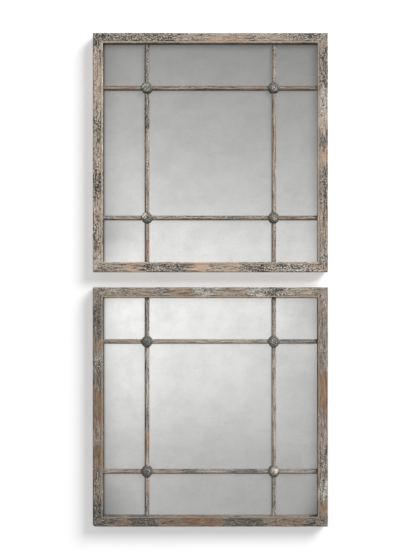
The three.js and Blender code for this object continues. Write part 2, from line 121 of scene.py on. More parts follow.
# Rounded edges of the pieces that are copies of their solids, and seams of the sheets
NAIL_BEVEL = 0.08
SCREW_BEVEL = 0.12
STRAP_BEVEL = 0.15
GLASS_SEAM = 0.6
BOARD_SEAM = 0.25
FLAT_DEGREES = 1.0  # faces that are this close to level are joined up
CORNER_DEGREES = 40.0  # edges sharper than this are rounded

# Waves of old paint and wood: half their height, and their pitch along and across
SIDE_WAVES = ((0.05, 17.0, 4.5), (0.045, 4.2, 2.1))
BAR_WAVES = ((0.04, 15.0, 3.0), (0.04, 3.5, 1.8))
BARE_HOLLOW = 0.10  # how much deeper bare wood is rubbed
# Chips: how far they reach round the section, and how deep the worst goes
EDGE_CHIPS, BEAD_CHIPS, FACE_CHIPS = (1.6, 0.9), (1.2, 0.35), (0.8, 0.3)
RIDGE_CHIPS, FLANK_CHIPS = (2.0, 0.3), (1.0, 0.4)
CHIP_SPACING = 24  # one chip on each such length
FLANK_WAY = 4.5  # from a bar's ridge round to the chips of its flanks

STATION_STEP = 1.1  # between the rings of points along a moulding
SECTION_STEP = 0.75  # between the points of a ring
SHARP_DEGREES = 32.0  # an edge sharper than this isn't shaded smooth
PAST = 1.0  # how far a cutting tool reaches past the wood
NEAR = 0.01  # two levels closer than this are the same


# ---------------------------------------------------------------- shapes

def box_mm(node):
    """Lowest and highest corner of a node of the frame, in millimetres."""
    low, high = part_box(node)
    return np.array(low) / MM, np.array(high) / MM


def round_box(node):
    """Lowest and highest corner of a round node, the x and z of its axis, and its radius."""
    low, high = box_mm(node)
    x, _, z = (low + high) / 2
    return low, high, x, z, (high[0] - low[0]) / 2


def frame_name(mirror, side):
    """The node of a side of the frame."""
    return f"{mirror}_{side}_{'stile' if side in UPRIGHT else 'rail'}"


def ends_of(side):
    """The two sides that a side of the frame or a bar runs to, the lower or left one first."""
    return ("bottom", "top") if side in UPRIGHT else ("left", "right")


def ripple(x, y, pitch_x, pitch_y, seed):
    """A smooth random field from -1 to 1: random numbers on a lattice, blended between the
    four nearest by t * t * (3 - 2 * t)."""
    size = 128
    lattice = np.random.default_rng(seed).uniform(-1, 1, (size, size))
    gx, gy = np.asarray(x) / pitch_x, np.asarray(y) / pitch_y
    ix, iy = np.floor(gx).astype(int), np.floor(gy).astype(int)
    fx, fy = gx - ix, gy - iy
    fx, fy = fx * fx * (3 - 2 * fx), fy * fy * (3 - 2 * fy)

    def row(j):
        return lattice[ix % size, j % size] * (1 - fx) + lattice[(ix + 1) % size, j % size] * fx

    return row(iy) * (1 - fy) + row(iy + 1) * fy


def smooth(value, low, high):
    """0 below low, 1 above high, and t * t * (3 - 2 * t) between them."""
    t = np.clip((value - low) / (high - low), 0, 1)
    return t * t * (3 - 2 * t)


def bell(value, middle, reach):
    """A bell curve: e to the minus square of the distance from the middle in reaches."""
    return np.exp(-((value - middle) / reach) ** 2)


def arc(centre, radii, start, end, count):
    """Points of an ellipse's arc, from the angle start to the angle end in degrees."""
    angle = np.radians(np.linspace(start, end, count))
    return np.stack([centre[0] + radii[0] * np.cos(angle), centre[1] + radii[1] * np.sin(angle)], 1)


def turns(count):
    """As many angles as count, evenly round the circle."""
    return np.linspace(0, 2 * math.pi, count + 1)[:-1]


def evenly(points, step):
    """The closed outline with points added so that none is further than step from the next.
    The outline's own points stay."""
    out = []
    for start, end in zip(points, np.roll(points, -1, axis=0)):
        count = max(1, math.ceil(float(np.hypot(*(end - start))) / step))
        share = np.arange(count)[:, None] / count
        out.append(start + (end - start) * share)
    return np.concatenate(out)


def round_normals(points):
    """Outward unit normals of a closed outline: the two neighbours' chord turned by a quarter."""
    chord = np.roll(points, -1, axis=0) - np.roll(points, 1, axis=0)
    normal = np.stack([chord[:, 1], -chord[:, 0]], 1)
    area = np.sum(points[:, 0] * np.roll(points[:, 1], -1) - np.roll(points[:, 0], -1) * points[:, 1])
    normal *= np.sign(area)
    return normal / np.maximum(np.linalg.norm(normal, axis=1, keepdims=True), 1e-9)


def running_length(points):
    """Distance round a closed outline up to each of its points."""
    step = np.linalg.norm(np.diff(points, axis=0), axis=1)
    return np.concatenate([[0], np.cumsum(step)])


@contextmanager
def opened(mesh):
    """The mesh as an editable one, which is written back at the end."""
    work = bmesh.new()
    work.from_mesh(mesh)
    yield work
    work.to_mesh(mesh)
    work.free()


def linked(name, data):
    """A new object of the scene."""
    made = bpy.data.objects.new(name, data)
    bpy.context.scene.collection.objects.link(made)
    return made


def finished(name, mesh, sharp_degrees=SHARP_DEGREES):
    """An object of a closed mesh whose faces point outwards, smooth but for its sharp edges."""
    with opened(mesh) as work:
        if work.calc_volume(signed=True) < 0:
            bmesh.ops.reverse_faces(work, faces=work.faces)
    mesh.polygons.foreach_set("use_smooth", np.ones(len(mesh.polygons), bool))
    mesh.set_sharp_from_angle(angle=math.radians(sharp_degrees))
    return linked(name, mesh)


def skin(name, rings, fields=None, sharp_degrees=SHARP_DEGREES):
    """A closed skin over rings, an array (stations, points of a ring, 3) in millimetres:
    neighbouring rings are joined by quads, and the first and the last are closed by a face.
    fields are named arrays (stations, points of a ring) or (.., .., 3) kept on the points."""
    stations, around = rings.shape[:2]
    index = np.arange(stations * around).reshape(stations, around)
    here, ahead = index[:-1], index[1:]
    quads = np.stack([here, np.roll(here, -1, 1), np.roll(ahead, -1, 1), ahead], -1).reshape(-1, 4)
    faces = quads.tolist() + [index[0][::-1].tolist(), index[-1].tolist()]
    mesh = bpy.data.meshes.new(name)
    mesh.from_pydata((rings.reshape(-1, 3) * MM).tolist(), [], faces)
    for field, values in (fields or {}).items():
        kind, key = ("FLOAT_VECTOR", "vector") if values.ndim == 3 else ("FLOAT", "value")
        layer = mesh.attributes.new(field, kind, "POINT")
        layer.data.foreach_set(key, np.ascontiguousarray(values, np.float32).ravel())
    return finished(name, mesh, sharp_degrees)


def refined(name, node, bevel):
    """A copy of a solid of the frame with its points merged, its flat faces joined up and its
    edges rounded by bevel."""
    mesh = frame["nodes"][node].data.copy()
    mesh.name = name
    mesh.materials.clear()
    flat, corner = math.radians(FLAT_DEGREES), math.radians(CORNER_DEGREES)
    with opened(mesh) as work:
        bmesh.ops.remove_doubles(work, verts=work.verts, dist=1e-6)
        bmesh.ops.dissolve_limit(work, angle_limit=flat, verts=work.verts, edges=work.edges)
        edges = [e for e in work.edges if len(e.link_faces) == 2 and e.calc_face_angle(0) > corner]
        bmesh.ops.bevel(
            work, geom=edges, offset=bevel * MM, offset_type="OFFSET", segments=2,
            profile=0.5, affect="EDGES", clamp_overlap=True)
        bmesh.ops.triangulate(work, faces=[f for f in work.faces if len(f.verts) > 4])
    return finished(name, mesh)


def block(low, high):
    """A box between two corners, as (points, faces), in millimetres."""
    xs, ys, zs = zip(low, high)
    corners = np.array([(x, y, z) for x in xs for y in ys for z in zs])
    faces = [(0, 1, 3, 2), (4, 6, 7, 5), (0, 4, 5, 1), (2, 3, 7, 6), (0, 2, 6, 4), (1, 5, 7, 3)]
    return corners, faces


def prism(outline, y0, y1):
    """An outline of (x, z) carried along Y, as (points, faces), in millimetres."""
    sides = len(outline)
    ring = np.array([(x, 0, z) for x, z in outline])
    points = np.concatenate([ring + [0, y0, 0], ring + [0, y1, 0]])
    faces = [(i, (i + 1) % sides, sides + (i + 1) % sides, sides + i) for i in range(sides)]
    faces += [tuple(range(sides))[::-1], tuple(range(sides, 2 * sides))]
    return points, faces


def peg(x, z, radius, y0, y1):
    """A round peg along Y, as (points, faces), in millimetres."""
    sides = 24
    return prism(arc((x, z), (radius, radius), 0, 360 - 360 / sides, sides), y0, y1)


def carve(piece, tools, operation="DIFFERENCE"):
    """Cuts the tools out of a piece, or joins them on. The tools don't touch one another."""
    points, faces = [], []
    for corners, sides in tools:
        faces += [[len(points) + i for i in face] for face in sides]
        points += (corners * MM).tolist()
    mesh = bpy.data.meshes.new("tool")
    mesh.from_pydata(points, [], faces)
    with opened(mesh) as work:
        bmesh.ops.recalc_face_normals(work, faces=work.faces)
    tool = linked("tool", mesh)
    cut = piece.modifiers.new("cut", "BOOLEAN")
    cut.operation = operation
    cut.solver = "EXACT"
    cut.object = tool
    bpy.context.view_layer.update()
    graph = bpy.context.evaluated_depsgraph_get()
    done = bpy.data.meshes.new_from_object(piece.evaluated_get(graph), depsgraph=graph)
    piece.modifiers.clear()
    old = piece.data
    piece.data = done
    done.name = piece.name
    bpy.data.meshes.remove(old)
    bpy.data.objects.remove(tool)
    bpy.data.meshes.remove(mesh)
    done.set_sharp_from_angle(angle=math.radians(SHARP_DEGREES))


def settle(piece, node, material, body="mirrors"):
    """The piece takes its node's place, its finish and its body."""
    piece.data.materials.clear()
    piece.data.materials.append(material)
    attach(piece, body)
    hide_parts(node)


# ---------------------------------------------------------------- finishes

def srgb(code):
    """Linear colour of a hex code."""
    levels = [int(code[i:i + 2], 16) / 255 for i in (1, 3, 5)]
    return tuple(v / 12.92 if v <= 0.04045 else ((v + 0.055) / 1.055) ** 2.4 for v in levels) + (1.0,)


class Nodes:
    """A node tree and short ways to add nodes to it. A hex code fed to a socket becomes its
    linear colour, and a socket fed to a socket is linked to it."""

    def __init__(self, tree):
        self.tree = tree

    def node(self, kind, inputs=None, **settings):
        """A new node with its settings made and its inputs fed."""
        made = self.tree.nodes.new(kind)
        for key, value in settings.items():
            setattr(made, key, value)
        for key, value in (inputs or {}).items():
            self.feed(made.inputs[key], value)
        return made

    def feed(self, socket, value):
        """Links the socket value to a socket, or sets the socket to value."""
        if isinstance(value, bpy.types.NodeSocket):
            self.tree.links.new(value, socket)
        else:
            socket.default_value = srgb(value) if isinstance(value, str) else value

    def math(self, operation, *values, clamp=False):
        """The operation on the values."""
        made = self.node("ShaderNodeMath", dict(enumerate(values)), operation=operation, use_clamp=clamp)
        return made.outputs[0]

    def vector_math(self, operation, a, b, output=0):
        """The operation on two vectors."""
        return self.node("ShaderNodeVectorMath", {0: a, 1: b}, operation=operation).outputs[output]

    def either(self, share, a, b):
        """Shader a where share is 0 and shader b where it is 1."""
        return self.node("ShaderNodeMixShader", {0: share, 1: a, 2: b}).outputs[0]


class Finish(Nodes):
    """A material, and short ways to build its colour, roughness and relief."""

    def __init__(self, name):
        self.material = bpy.data.materials.new(name)
        self.material.use_nodes = True
        super().__init__(self.material.node_tree)
        self.shader = self.tree.nodes["Principled BSDF"]

    def attribute(self, name, output="Fac"):
        """A field of the mesh."""
        return self.node("ShaderNodeAttribute", attribute_name=name).outputs[output]

    def place(self):
        """The piece's own coordinate, in metres."""
        return self.node("ShaderNodeTexCoord").outputs["Object"]

    def scaled(self, vector, scale, shift=(0, 0, 0)):
        """vector * scale + shift"""
        made = self.node("ShaderNodeMapping", {"Vector": vector, "Scale": scale, "Location": shift})
        return made.outputs["Vector"]

    def noise(self, vector, scale=1.0, detail=3.0, roughness=0.55, distortion=0.0):
        """Fractal noise from 0 to 1, mostly near 0.5."""
        made = self.node("ShaderNodeTexNoise", {
            "Vector": vector, "Scale": scale, "Detail": detail,
            "Roughness": roughness, "Distortion": distortion})
        return made.outputs["Fac"]

    def swing(self, value, around, gain):
        """around + (value - 0.5) * gain"""
        return self.math("ADD", around, self.math("MULTIPLY", self.math("SUBTRACT", value, 0.5), gain))

    def step(self, value, low, high, to_low=0.0, to_high=1.0):
        """From to_low to to_high, smoothly, while value goes from low to high."""
        made = self.node("ShaderNodeMapRange", {
            "Value": value, "From Min": low, "From Max": high, "To Min": to_low, "To Max": to_high},
            interpolation_type="SMOOTHSTEP")
        return made.outputs["Result"]

    def blend(self, share, a, b, kind="MIX"):
        """Colour a where share is 0 and colour b where it is 1."""
        made = self.node("ShaderNodeMix", {0: share, 6: a, 7: b}, data_type="RGBA", blend_type=kind)
        return made.outputs[2]

    def over(self, colour, top, value, low, high, most=1.0):
        """The colour with top laid over it, by up to most, while value goes from low to high."""
        return self.blend(self.step(value, low, high, 0.0, most), colour, top)

    def set(self, **inputs):
        """Feeds the shader's inputs, whose spaces are written as underscores."""
        for key, value in inputs.items():
            self.feed(self.shader.inputs[key.replace("_", " ")], value)

    def bump(self, height, distance, strength):
        """Tilts the surface as if height, times distance in metres, stood on it."""
        made = self.node("ShaderNodeBump", {"Height": height, "Distance": distance, "Strength": strength})
        self.feed(self.shader.inputs["Normal"], made.outputs["Normal"])


# Noises of old paint: waves a millimetre along and across the grain, shift, detail, roughness
PAINT_NOISES = {
    "fibre": (0.030, 0.95, (0, 0, 0), 5.0, 0.65), "streak": (0.045, 0.46, (7, 0, 0), 4.0, 0.6),
    "cloud": (0.035, 0.12, (0, 31, 0), 3.0, 0.55), "speck": (0.30, 0.60, (11, 3, 0), 4.0, 0.7),
    "fleck": (0.10, 0.34, (3, 17, 0), 3.0, 0.6), "dash": (0.18, 0.46, (5, 9, 0), 3.0, 0.55),
    "pit": (0.27, 0.40, (2, 41, 0), 3.0, 0.65), "bend": (0.012, 0.34, (1, 23, 0), 3.0, 0.5),
}
SOILED = (0.46, 0.42, 0.39, 1)  # what soil leaves of a colour


def crackle_edge(paint, grain):
    """Distance to the nearest crack: cells a few millimetres wide, shaken out of line by noise."""
    jitter = paint.node("ShaderNodeTexNoise", {
        "Vector": paint.scaled(grain, (0.25, 0.4, 1.0)), "Scale": 1.0, "Detail": 2.0}).outputs["Color"]
    shaken = paint.vector_math("ADD", paint.scaled(grain, (0.20, 0.33, 1.0)), jitter)
    cells = paint.node("ShaderNodeTexVoronoi", {"Vector": shaken, "Scale": 1.0}, feature="DISTANCE_TO_EDGE")
    return cells.outputs["Distance"]


def rubbed_paint(name, tones):
    """Old paint on a moulding: streaked wash over wood, slate undercoat, ivory paint crackled
    into islands, bare wood where it is rubbed through. The moulding's own fields say where,
    and noise drawn out along the grain frays every border into fingers.
    Its grain coordinate is (along, across, piece) in millimetres."""
    paint = Finish(name)
    grain = paint.attribute("grain", "Vector")
    crackle, bare, slate, ivory, rub, grime_and_shade, soil = (paint.attribute(key) for key in (
        "crackle", "bare", "slate", "ivory", "rub", "grime_and_shade", "soil"))
    fibre, streak, cloud, speck, fleck, dash, pit, bend = (
        paint.noise(paint.scaled(grain, (along, across, 1.0), shift), detail=detail, roughness=rough)
        for along, across, shift, detail, rough in PAINT_NOISES.values())

    wash = paint.over(tones["wash"], tones["blush"], cloud, 0.38, 0.64)
    wash = paint.over(wash, tones["streak"], streak, 0.42, 0.70)
    wash = paint.over(wash, tones["streak"], fibre, 0.48, 0.66, 0.65)
    wash = paint.over(wash, tones["ivory"], speck, 0.55, 0.68, 0.9)

    wood = paint.over(tones["wood"], tones["wood_dark"], streak, 0.35, 0.65)
    wood = paint.over(wood, tones["grain"], fibre, 0.48, 0.70, 0.75)
    worn = paint.swing(fibre, paint.swing(streak, bare, -2.0), 1.2)
    colour = paint.over(wash, wood, worn, 0.30, 0.80)

    under = paint.over(tones["slate"], tones["slate_pale"], fleck, 0.42, 0.60)
    under = paint.over(under, tones["charcoal"], dash, 0.50, 0.60)
    shown = paint.step(paint.swing(fibre, paint.swing(streak, slate, 2.6), 1.2), 0.36, 0.74)
    colour = paint.blend(paint.math("MULTIPLY", shown, 0.86), colour, under)

    thin = paint.step(cloud, 0.40, 0.62, 0.0, 0.17)
    island = paint.step(paint.math("SUBTRACT", crackle_edge(paint, grain), thin), 0.015, 0.13)
    cracked = paint.step(paint.swing(fleck, crackle, 3.0), 0.42, 0.72)
    pale = paint.over(tones["island"], tones["ivory"], paint.math("ADD", ivory, speck), 0.50, 1.10)
    crackled = paint.blend(island, tones["crack"], pale)
    crackled = paint.over(crackled, tones["crack"], dash, 0.53, 0.59, 0.92)
    colour = paint.blend(cracked, colour, crackled)

    # Pale and dark flecks on what isn't bare, dark wandering lines, chalky streaks that also carry painted
    # light on some flanks, rubbed edges and a bar's ridge line that is partly a painted highlight, painted
    # shade with some grime, and soil
    covered = paint.step(worn, 0.30, 0.80, 1.0, 0.25)
    salt = paint.step(pit, 0.32, 0.455, 0.66 * tones["flecks"], 0.0)
    pepper = paint.step(pit, 0.53, 0.65, 0.0, 0.78 * tones["flecks"])
    colour = paint.blend(paint.math("MULTIPLY", covered, salt), colour, tones["ivory"])
    colour = paint.blend(paint.math("MULTIPLY", covered, pepper), colour, tones["charcoal"])
    off_line = paint.math("ABSOLUTE", paint.math("SUBTRACT", bend, 0.5))
    line = paint.math("MULTIPLY", paint.step(off_line, 0.010, 0.034, 1.0, 0.0),
                      paint.step(cloud, 0.35, 0.60, 0.15, 0.75))
    colour = paint.blend(line, colour, tones["charcoal"])
    chalk_and_light = paint.swing(streak, paint.swing(speck, ivory, 1.6), -1.2)
    colour = paint.over(colour, tones["ivory"], chalk_and_light, 0.45, 0.95, 0.6)
    rubbed = paint.math("ADD", rub, paint.math("MULTIPLY", streak, 0.8))
    colour = paint.over(colour, tones["edge"], rubbed, 0.75, 1.15, 0.85)
    # Painted shade, with some grime: the dark brown tone wherever the fields put it
    colour = paint.blend(grime_and_shade, colour, tones["grime_and_shade"])
    grimy = paint.math("MULTIPLY", soil, paint.step(cloud, 0.25, 0.70, 1.3, 0.7), clamp=True)
    colour = paint.blend(grimy, colour, SOILED, "MULTIPLY")

    relief = paint.math("ADD", paint.math("MULTIPLY", island, cracked), paint.math("MULTIPLY", fibre, 0.35))
    paint.set(Base_Color=colour, Roughness=paint.step(speck, 0.3, 0.7, 0.55, 0.85), Specular_IOR_Level=0.35)
    paint.bump(relief, 0.00022, 0.8)
    return paint.material


# Painted shade along the sight edges, for the frame's shadow and its reflection in the glass: (axis, edge,
# way in, reach, most)
LEFT_SIGHT = box_mm("upper_left_stile")[1][0]
RIGHT_SIGHT = box_mm("upper_right_stile")[0][0]
UPPER_TOP_SIGHT = box_mm("upper_top_rail")[0][2]
LOWER_TOP_SIGHT = box_mm("lower_top_rail")[0][2]
SIGHT_EDGE_SHADE = [
    (0, LEFT_SIGHT, 1, 45.0, 0.26), (0, LEFT_SIGHT, 1, 6.5, 0.85), (0, RIGHT_SIGHT, -1, 30.0, 0.12),
    (2, UPPER_TOP_SIGHT, -1, 14.0, 0.25), (2, LOWER_TOP_SIGHT, -1, 4.0, 0.80),
]
# Round patches of painted shade, for darker parts of the reflection: (x, z, reach, most)
REFLECTION_SHADE_PATCHES = [
    (-205, 90, 95, 0.26), (-205, -462, 90, 0.30), (208, -462, 50, 0.30), (205, -190, 150, 0.14),
    (205, -45, 90, 0.20),
]
BLACK = (0, 0, 0, 1)


def antique_mirror():
    """Silvered glass with faint clouding and fine specks, and painted shade: darker along a sight edge by the
    square of the nearness to it, for the frame's shadow and reflection, and in round patches for darker parts
    of the reflection."""
    glass = Finish("antique_mirror")
    place = glass.place()
    cloud = glass.noise(place, 22.0, 5.0, 0.62)
    speck = glass.noise(glass.scaled(place, (1, 1, 1), (3, 0, 5)), 420.0, 3.0, 0.65)
    smear = glass.noise(glass.scaled(place, (16.0, 16.0, 50.0)), 1.0, 4.0, 0.6)
    tone = glass.over("#e5e5e4", "#dddddb", cloud, 0.35, 0.68)
    tone = glass.over(tone, "#d3d4d3", smear, 0.50, 0.72, 0.25)
    tone = glass.over(tone, "#a9a8a2", speck, 0.62, 0.72, 0.5)
    axes = glass.node("ShaderNodeSeparateXYZ", {0: place}).outputs
    # Painted shade along the sight edges
    for axis, edge, way, reach, most in SIGHT_EDGE_SHADE:
        inside = glass.math("MULTIPLY", glass.math("SUBTRACT", axes[axis], edge * MM), way / (reach * MM))
        near = glass.math("MAXIMUM", glass.math("SUBTRACT", 1.0, inside), 0.0)
        this_side = glass.math("MULTIPLY", glass.math("GREATER_THAN", inside, -1.0), most)
        tone = glass.blend(glass.math("MULTIPLY", glass.math("MULTIPLY", near, near), this_side), tone, BLACK)
    plan = glass.node("ShaderNodeCombineXYZ", {0: axes[0], 2: axes[2]}).outputs[0]
    # Painted shade in round patches of the reflection
    for x, z, reach, most in REFLECTION_SHADE_PATCHES:
        away = glass.vector_math("DISTANCE", plan, (x * MM, 0, z * MM), "Value")
        tone = glass.blend(glass.step(away, 0.0, reach * MM, most, 0.0), tone, BLACK)
    glass.set(Base_Color=tone, Roughness=glass.step(cloud, 0.3, 0.7, 0.05, 0.10), Metallic=0.86)
    return glass.material


def aged_pewter():
    """Cast metal in dull grey-brown, with slate dirt in its hollows, painted shade on its lower rim and pale
    paint left where it was rubbed on. Fields: high, rub, hollow (with the painted shade of the lower rim),
    patina."""
    cast = Finish("aged_pewter")
    place = cast.place()
    high, rub, hollow_and_shade, patina = (cast.attribute(key) for key in ("high", "rub", "hollow_and_shade", "patina"))
    cloud = cast.noise(place, 210.0, 3.0, 0.55)
    grit = cast.noise(place, 1200.0, 3.0, 0.6)
    tone = cast.over("#625e56", "#8b867d", cloud, 0.38, 0.62)
    tone = cast.blend(cast.swing(cloud, patina, 0.8), tone, "#50524f")
    tone = cast.blend(cast.math("MULTIPLY", high, 0.30), tone, "#8f8a82")
    tone = cast.over(tone, "#4a4843", grit, 0.50, 0.66, 0.4)
    worn = cast.swing(grit, cast.swing(cloud, rub, 0.9), 0.5)
    tone = cast.over(tone, "#beb5a9", worn, 0.35, 0.95, 0.85)
    tone = cast.over(tone, "#ddd5c8", worn, 1.0, 1.5, 0.9)
    tone = cast.blend(cast.math("MULTIPLY", hollow_and_shade, 0.85), tone, "#33302b")
    cast.set(Base_Color=tone, Roughness=cast.step(grit, 0.3, 0.7, 0.45, 0.70), Metallic=0.15)
    cast.bump(grit, 0.00008, 0.6)
    return cast.material


def hardboard():
    """Brown pressed fibre board: fine felted fibres and a few darker clouds."""
    board = Finish("brown_hardboard")
    place = board.place()
    felt = board.noise(board.scaled(place, (1, 1, 3.5)), 260.0, 6.0, 0.75, 0.6)
    fleck = board.noise(place, 900.0, 2.0, 0.6)
    cloud = board.noise(place, 9.0, 4.0, 0.6)
    tone = board.over("#6d4f36", "#95714f", felt, 0.30, 0.70)
    tone = board.over(tone, "#5a402b", cloud, 0.40, 0.75, 0.45)
    tone = board.over(tone, "#b08e68", fleck, 0.62, 0.74, 0.6)
    board.set(Base_Color=tone, Roughness=board.step(felt, 0.3, 0.7, 0.62, 0.85))
    board.bump(felt, 0.00012, 0.7)
    return board.material


def plated_steel(name, bright, dull):
    """Plated steel: clouded plating and fine drawn scratches."""
    metal = Finish(name)
    place = metal.place()
    cloud = metal.noise(place, 320.0, 4.0, 0.6)
    drawn = metal.noise(metal.scaled(place, (2500, 2500, 260)), 1.0, 3.0, 0.6)
    tone = metal.over(bright, dull, cloud, 0.38, 0.66)
    metal.set(Base_Color=tone, Roughness=metal.step(drawn, 0.3, 0.7, 0.26, 0.46), Metallic=1.0)
    metal.bump(drawn, 0.00002, 0.5)
    return metal.material


def soft_rubber():
    """Black rubber with a chalky bloom."""
    rubber = Finish("soft_rubber")
    bloom = rubber.noise(rubber.place(), 600.0, 4.0, 0.65)
    tone = rubber.over("#232324", "#48484a", bloom, 0.45, 0.75)
    rubber.set(Base_Color=tone, Roughness=rubber.step(bloom, 0.3, 0.7, 0.7, 0.92))
    rubber.bump(bloom, 0.00005, 0.5)
    return rubber.material


UPPER_TONES = {
    "wash": "#beb09f", "blush": "#bca491", "streak": "#7d7266", "ivory": "#eae1d3",
    "wood": "#dabaa2", "wood_dark": "#bb9c84", "grain": "#83705f",
    "slate": "#62645f", "slate_pale": "#8c8a82", "charcoal": "#34322f",
    "island": "#cdc1b0", "crack": "#2c2a27", "edge": "#cab9a4", "grime_and_shade": "#4c4036", "flecks": 1.25,
}
LOWER_TONES = {
    "wash": "#b2a697", "blush": "#a28c7a", "streak": "#62584e", "ivory": "#e2dcd0",
    "wood": "#a88b70", "wood_dark": "#7c6251", "grain": "#5e4b3e",
    "slate": "#575853", "slate_pale": "#83827b", "charcoal": "#33312e",
    "island": "#b9b0a4", "crack": "#2a2826", "edge": "#ad9e8a", "grime_and_shade": "#443a32", "flecks": 0.80,
}
UPPER_BAR_TONES = dict(UPPER_TONES, wash="#a4988b", blush="#a18c7d", streak="#6d6459", wood="#a98f7c",
                       wood_dark="#7c6757", grain="#5c4f44", island="#b0a596", edge="#c0b6a7")
LOWER_BAR_TONES = dict(LOWER_TONES, wash="#aea398", blush="#a6968a", streak="#7a7168", ivory="#d8d3c9",
                       wood="#ad957f", wood_dark="#85705f", edge="#c2b9ad")

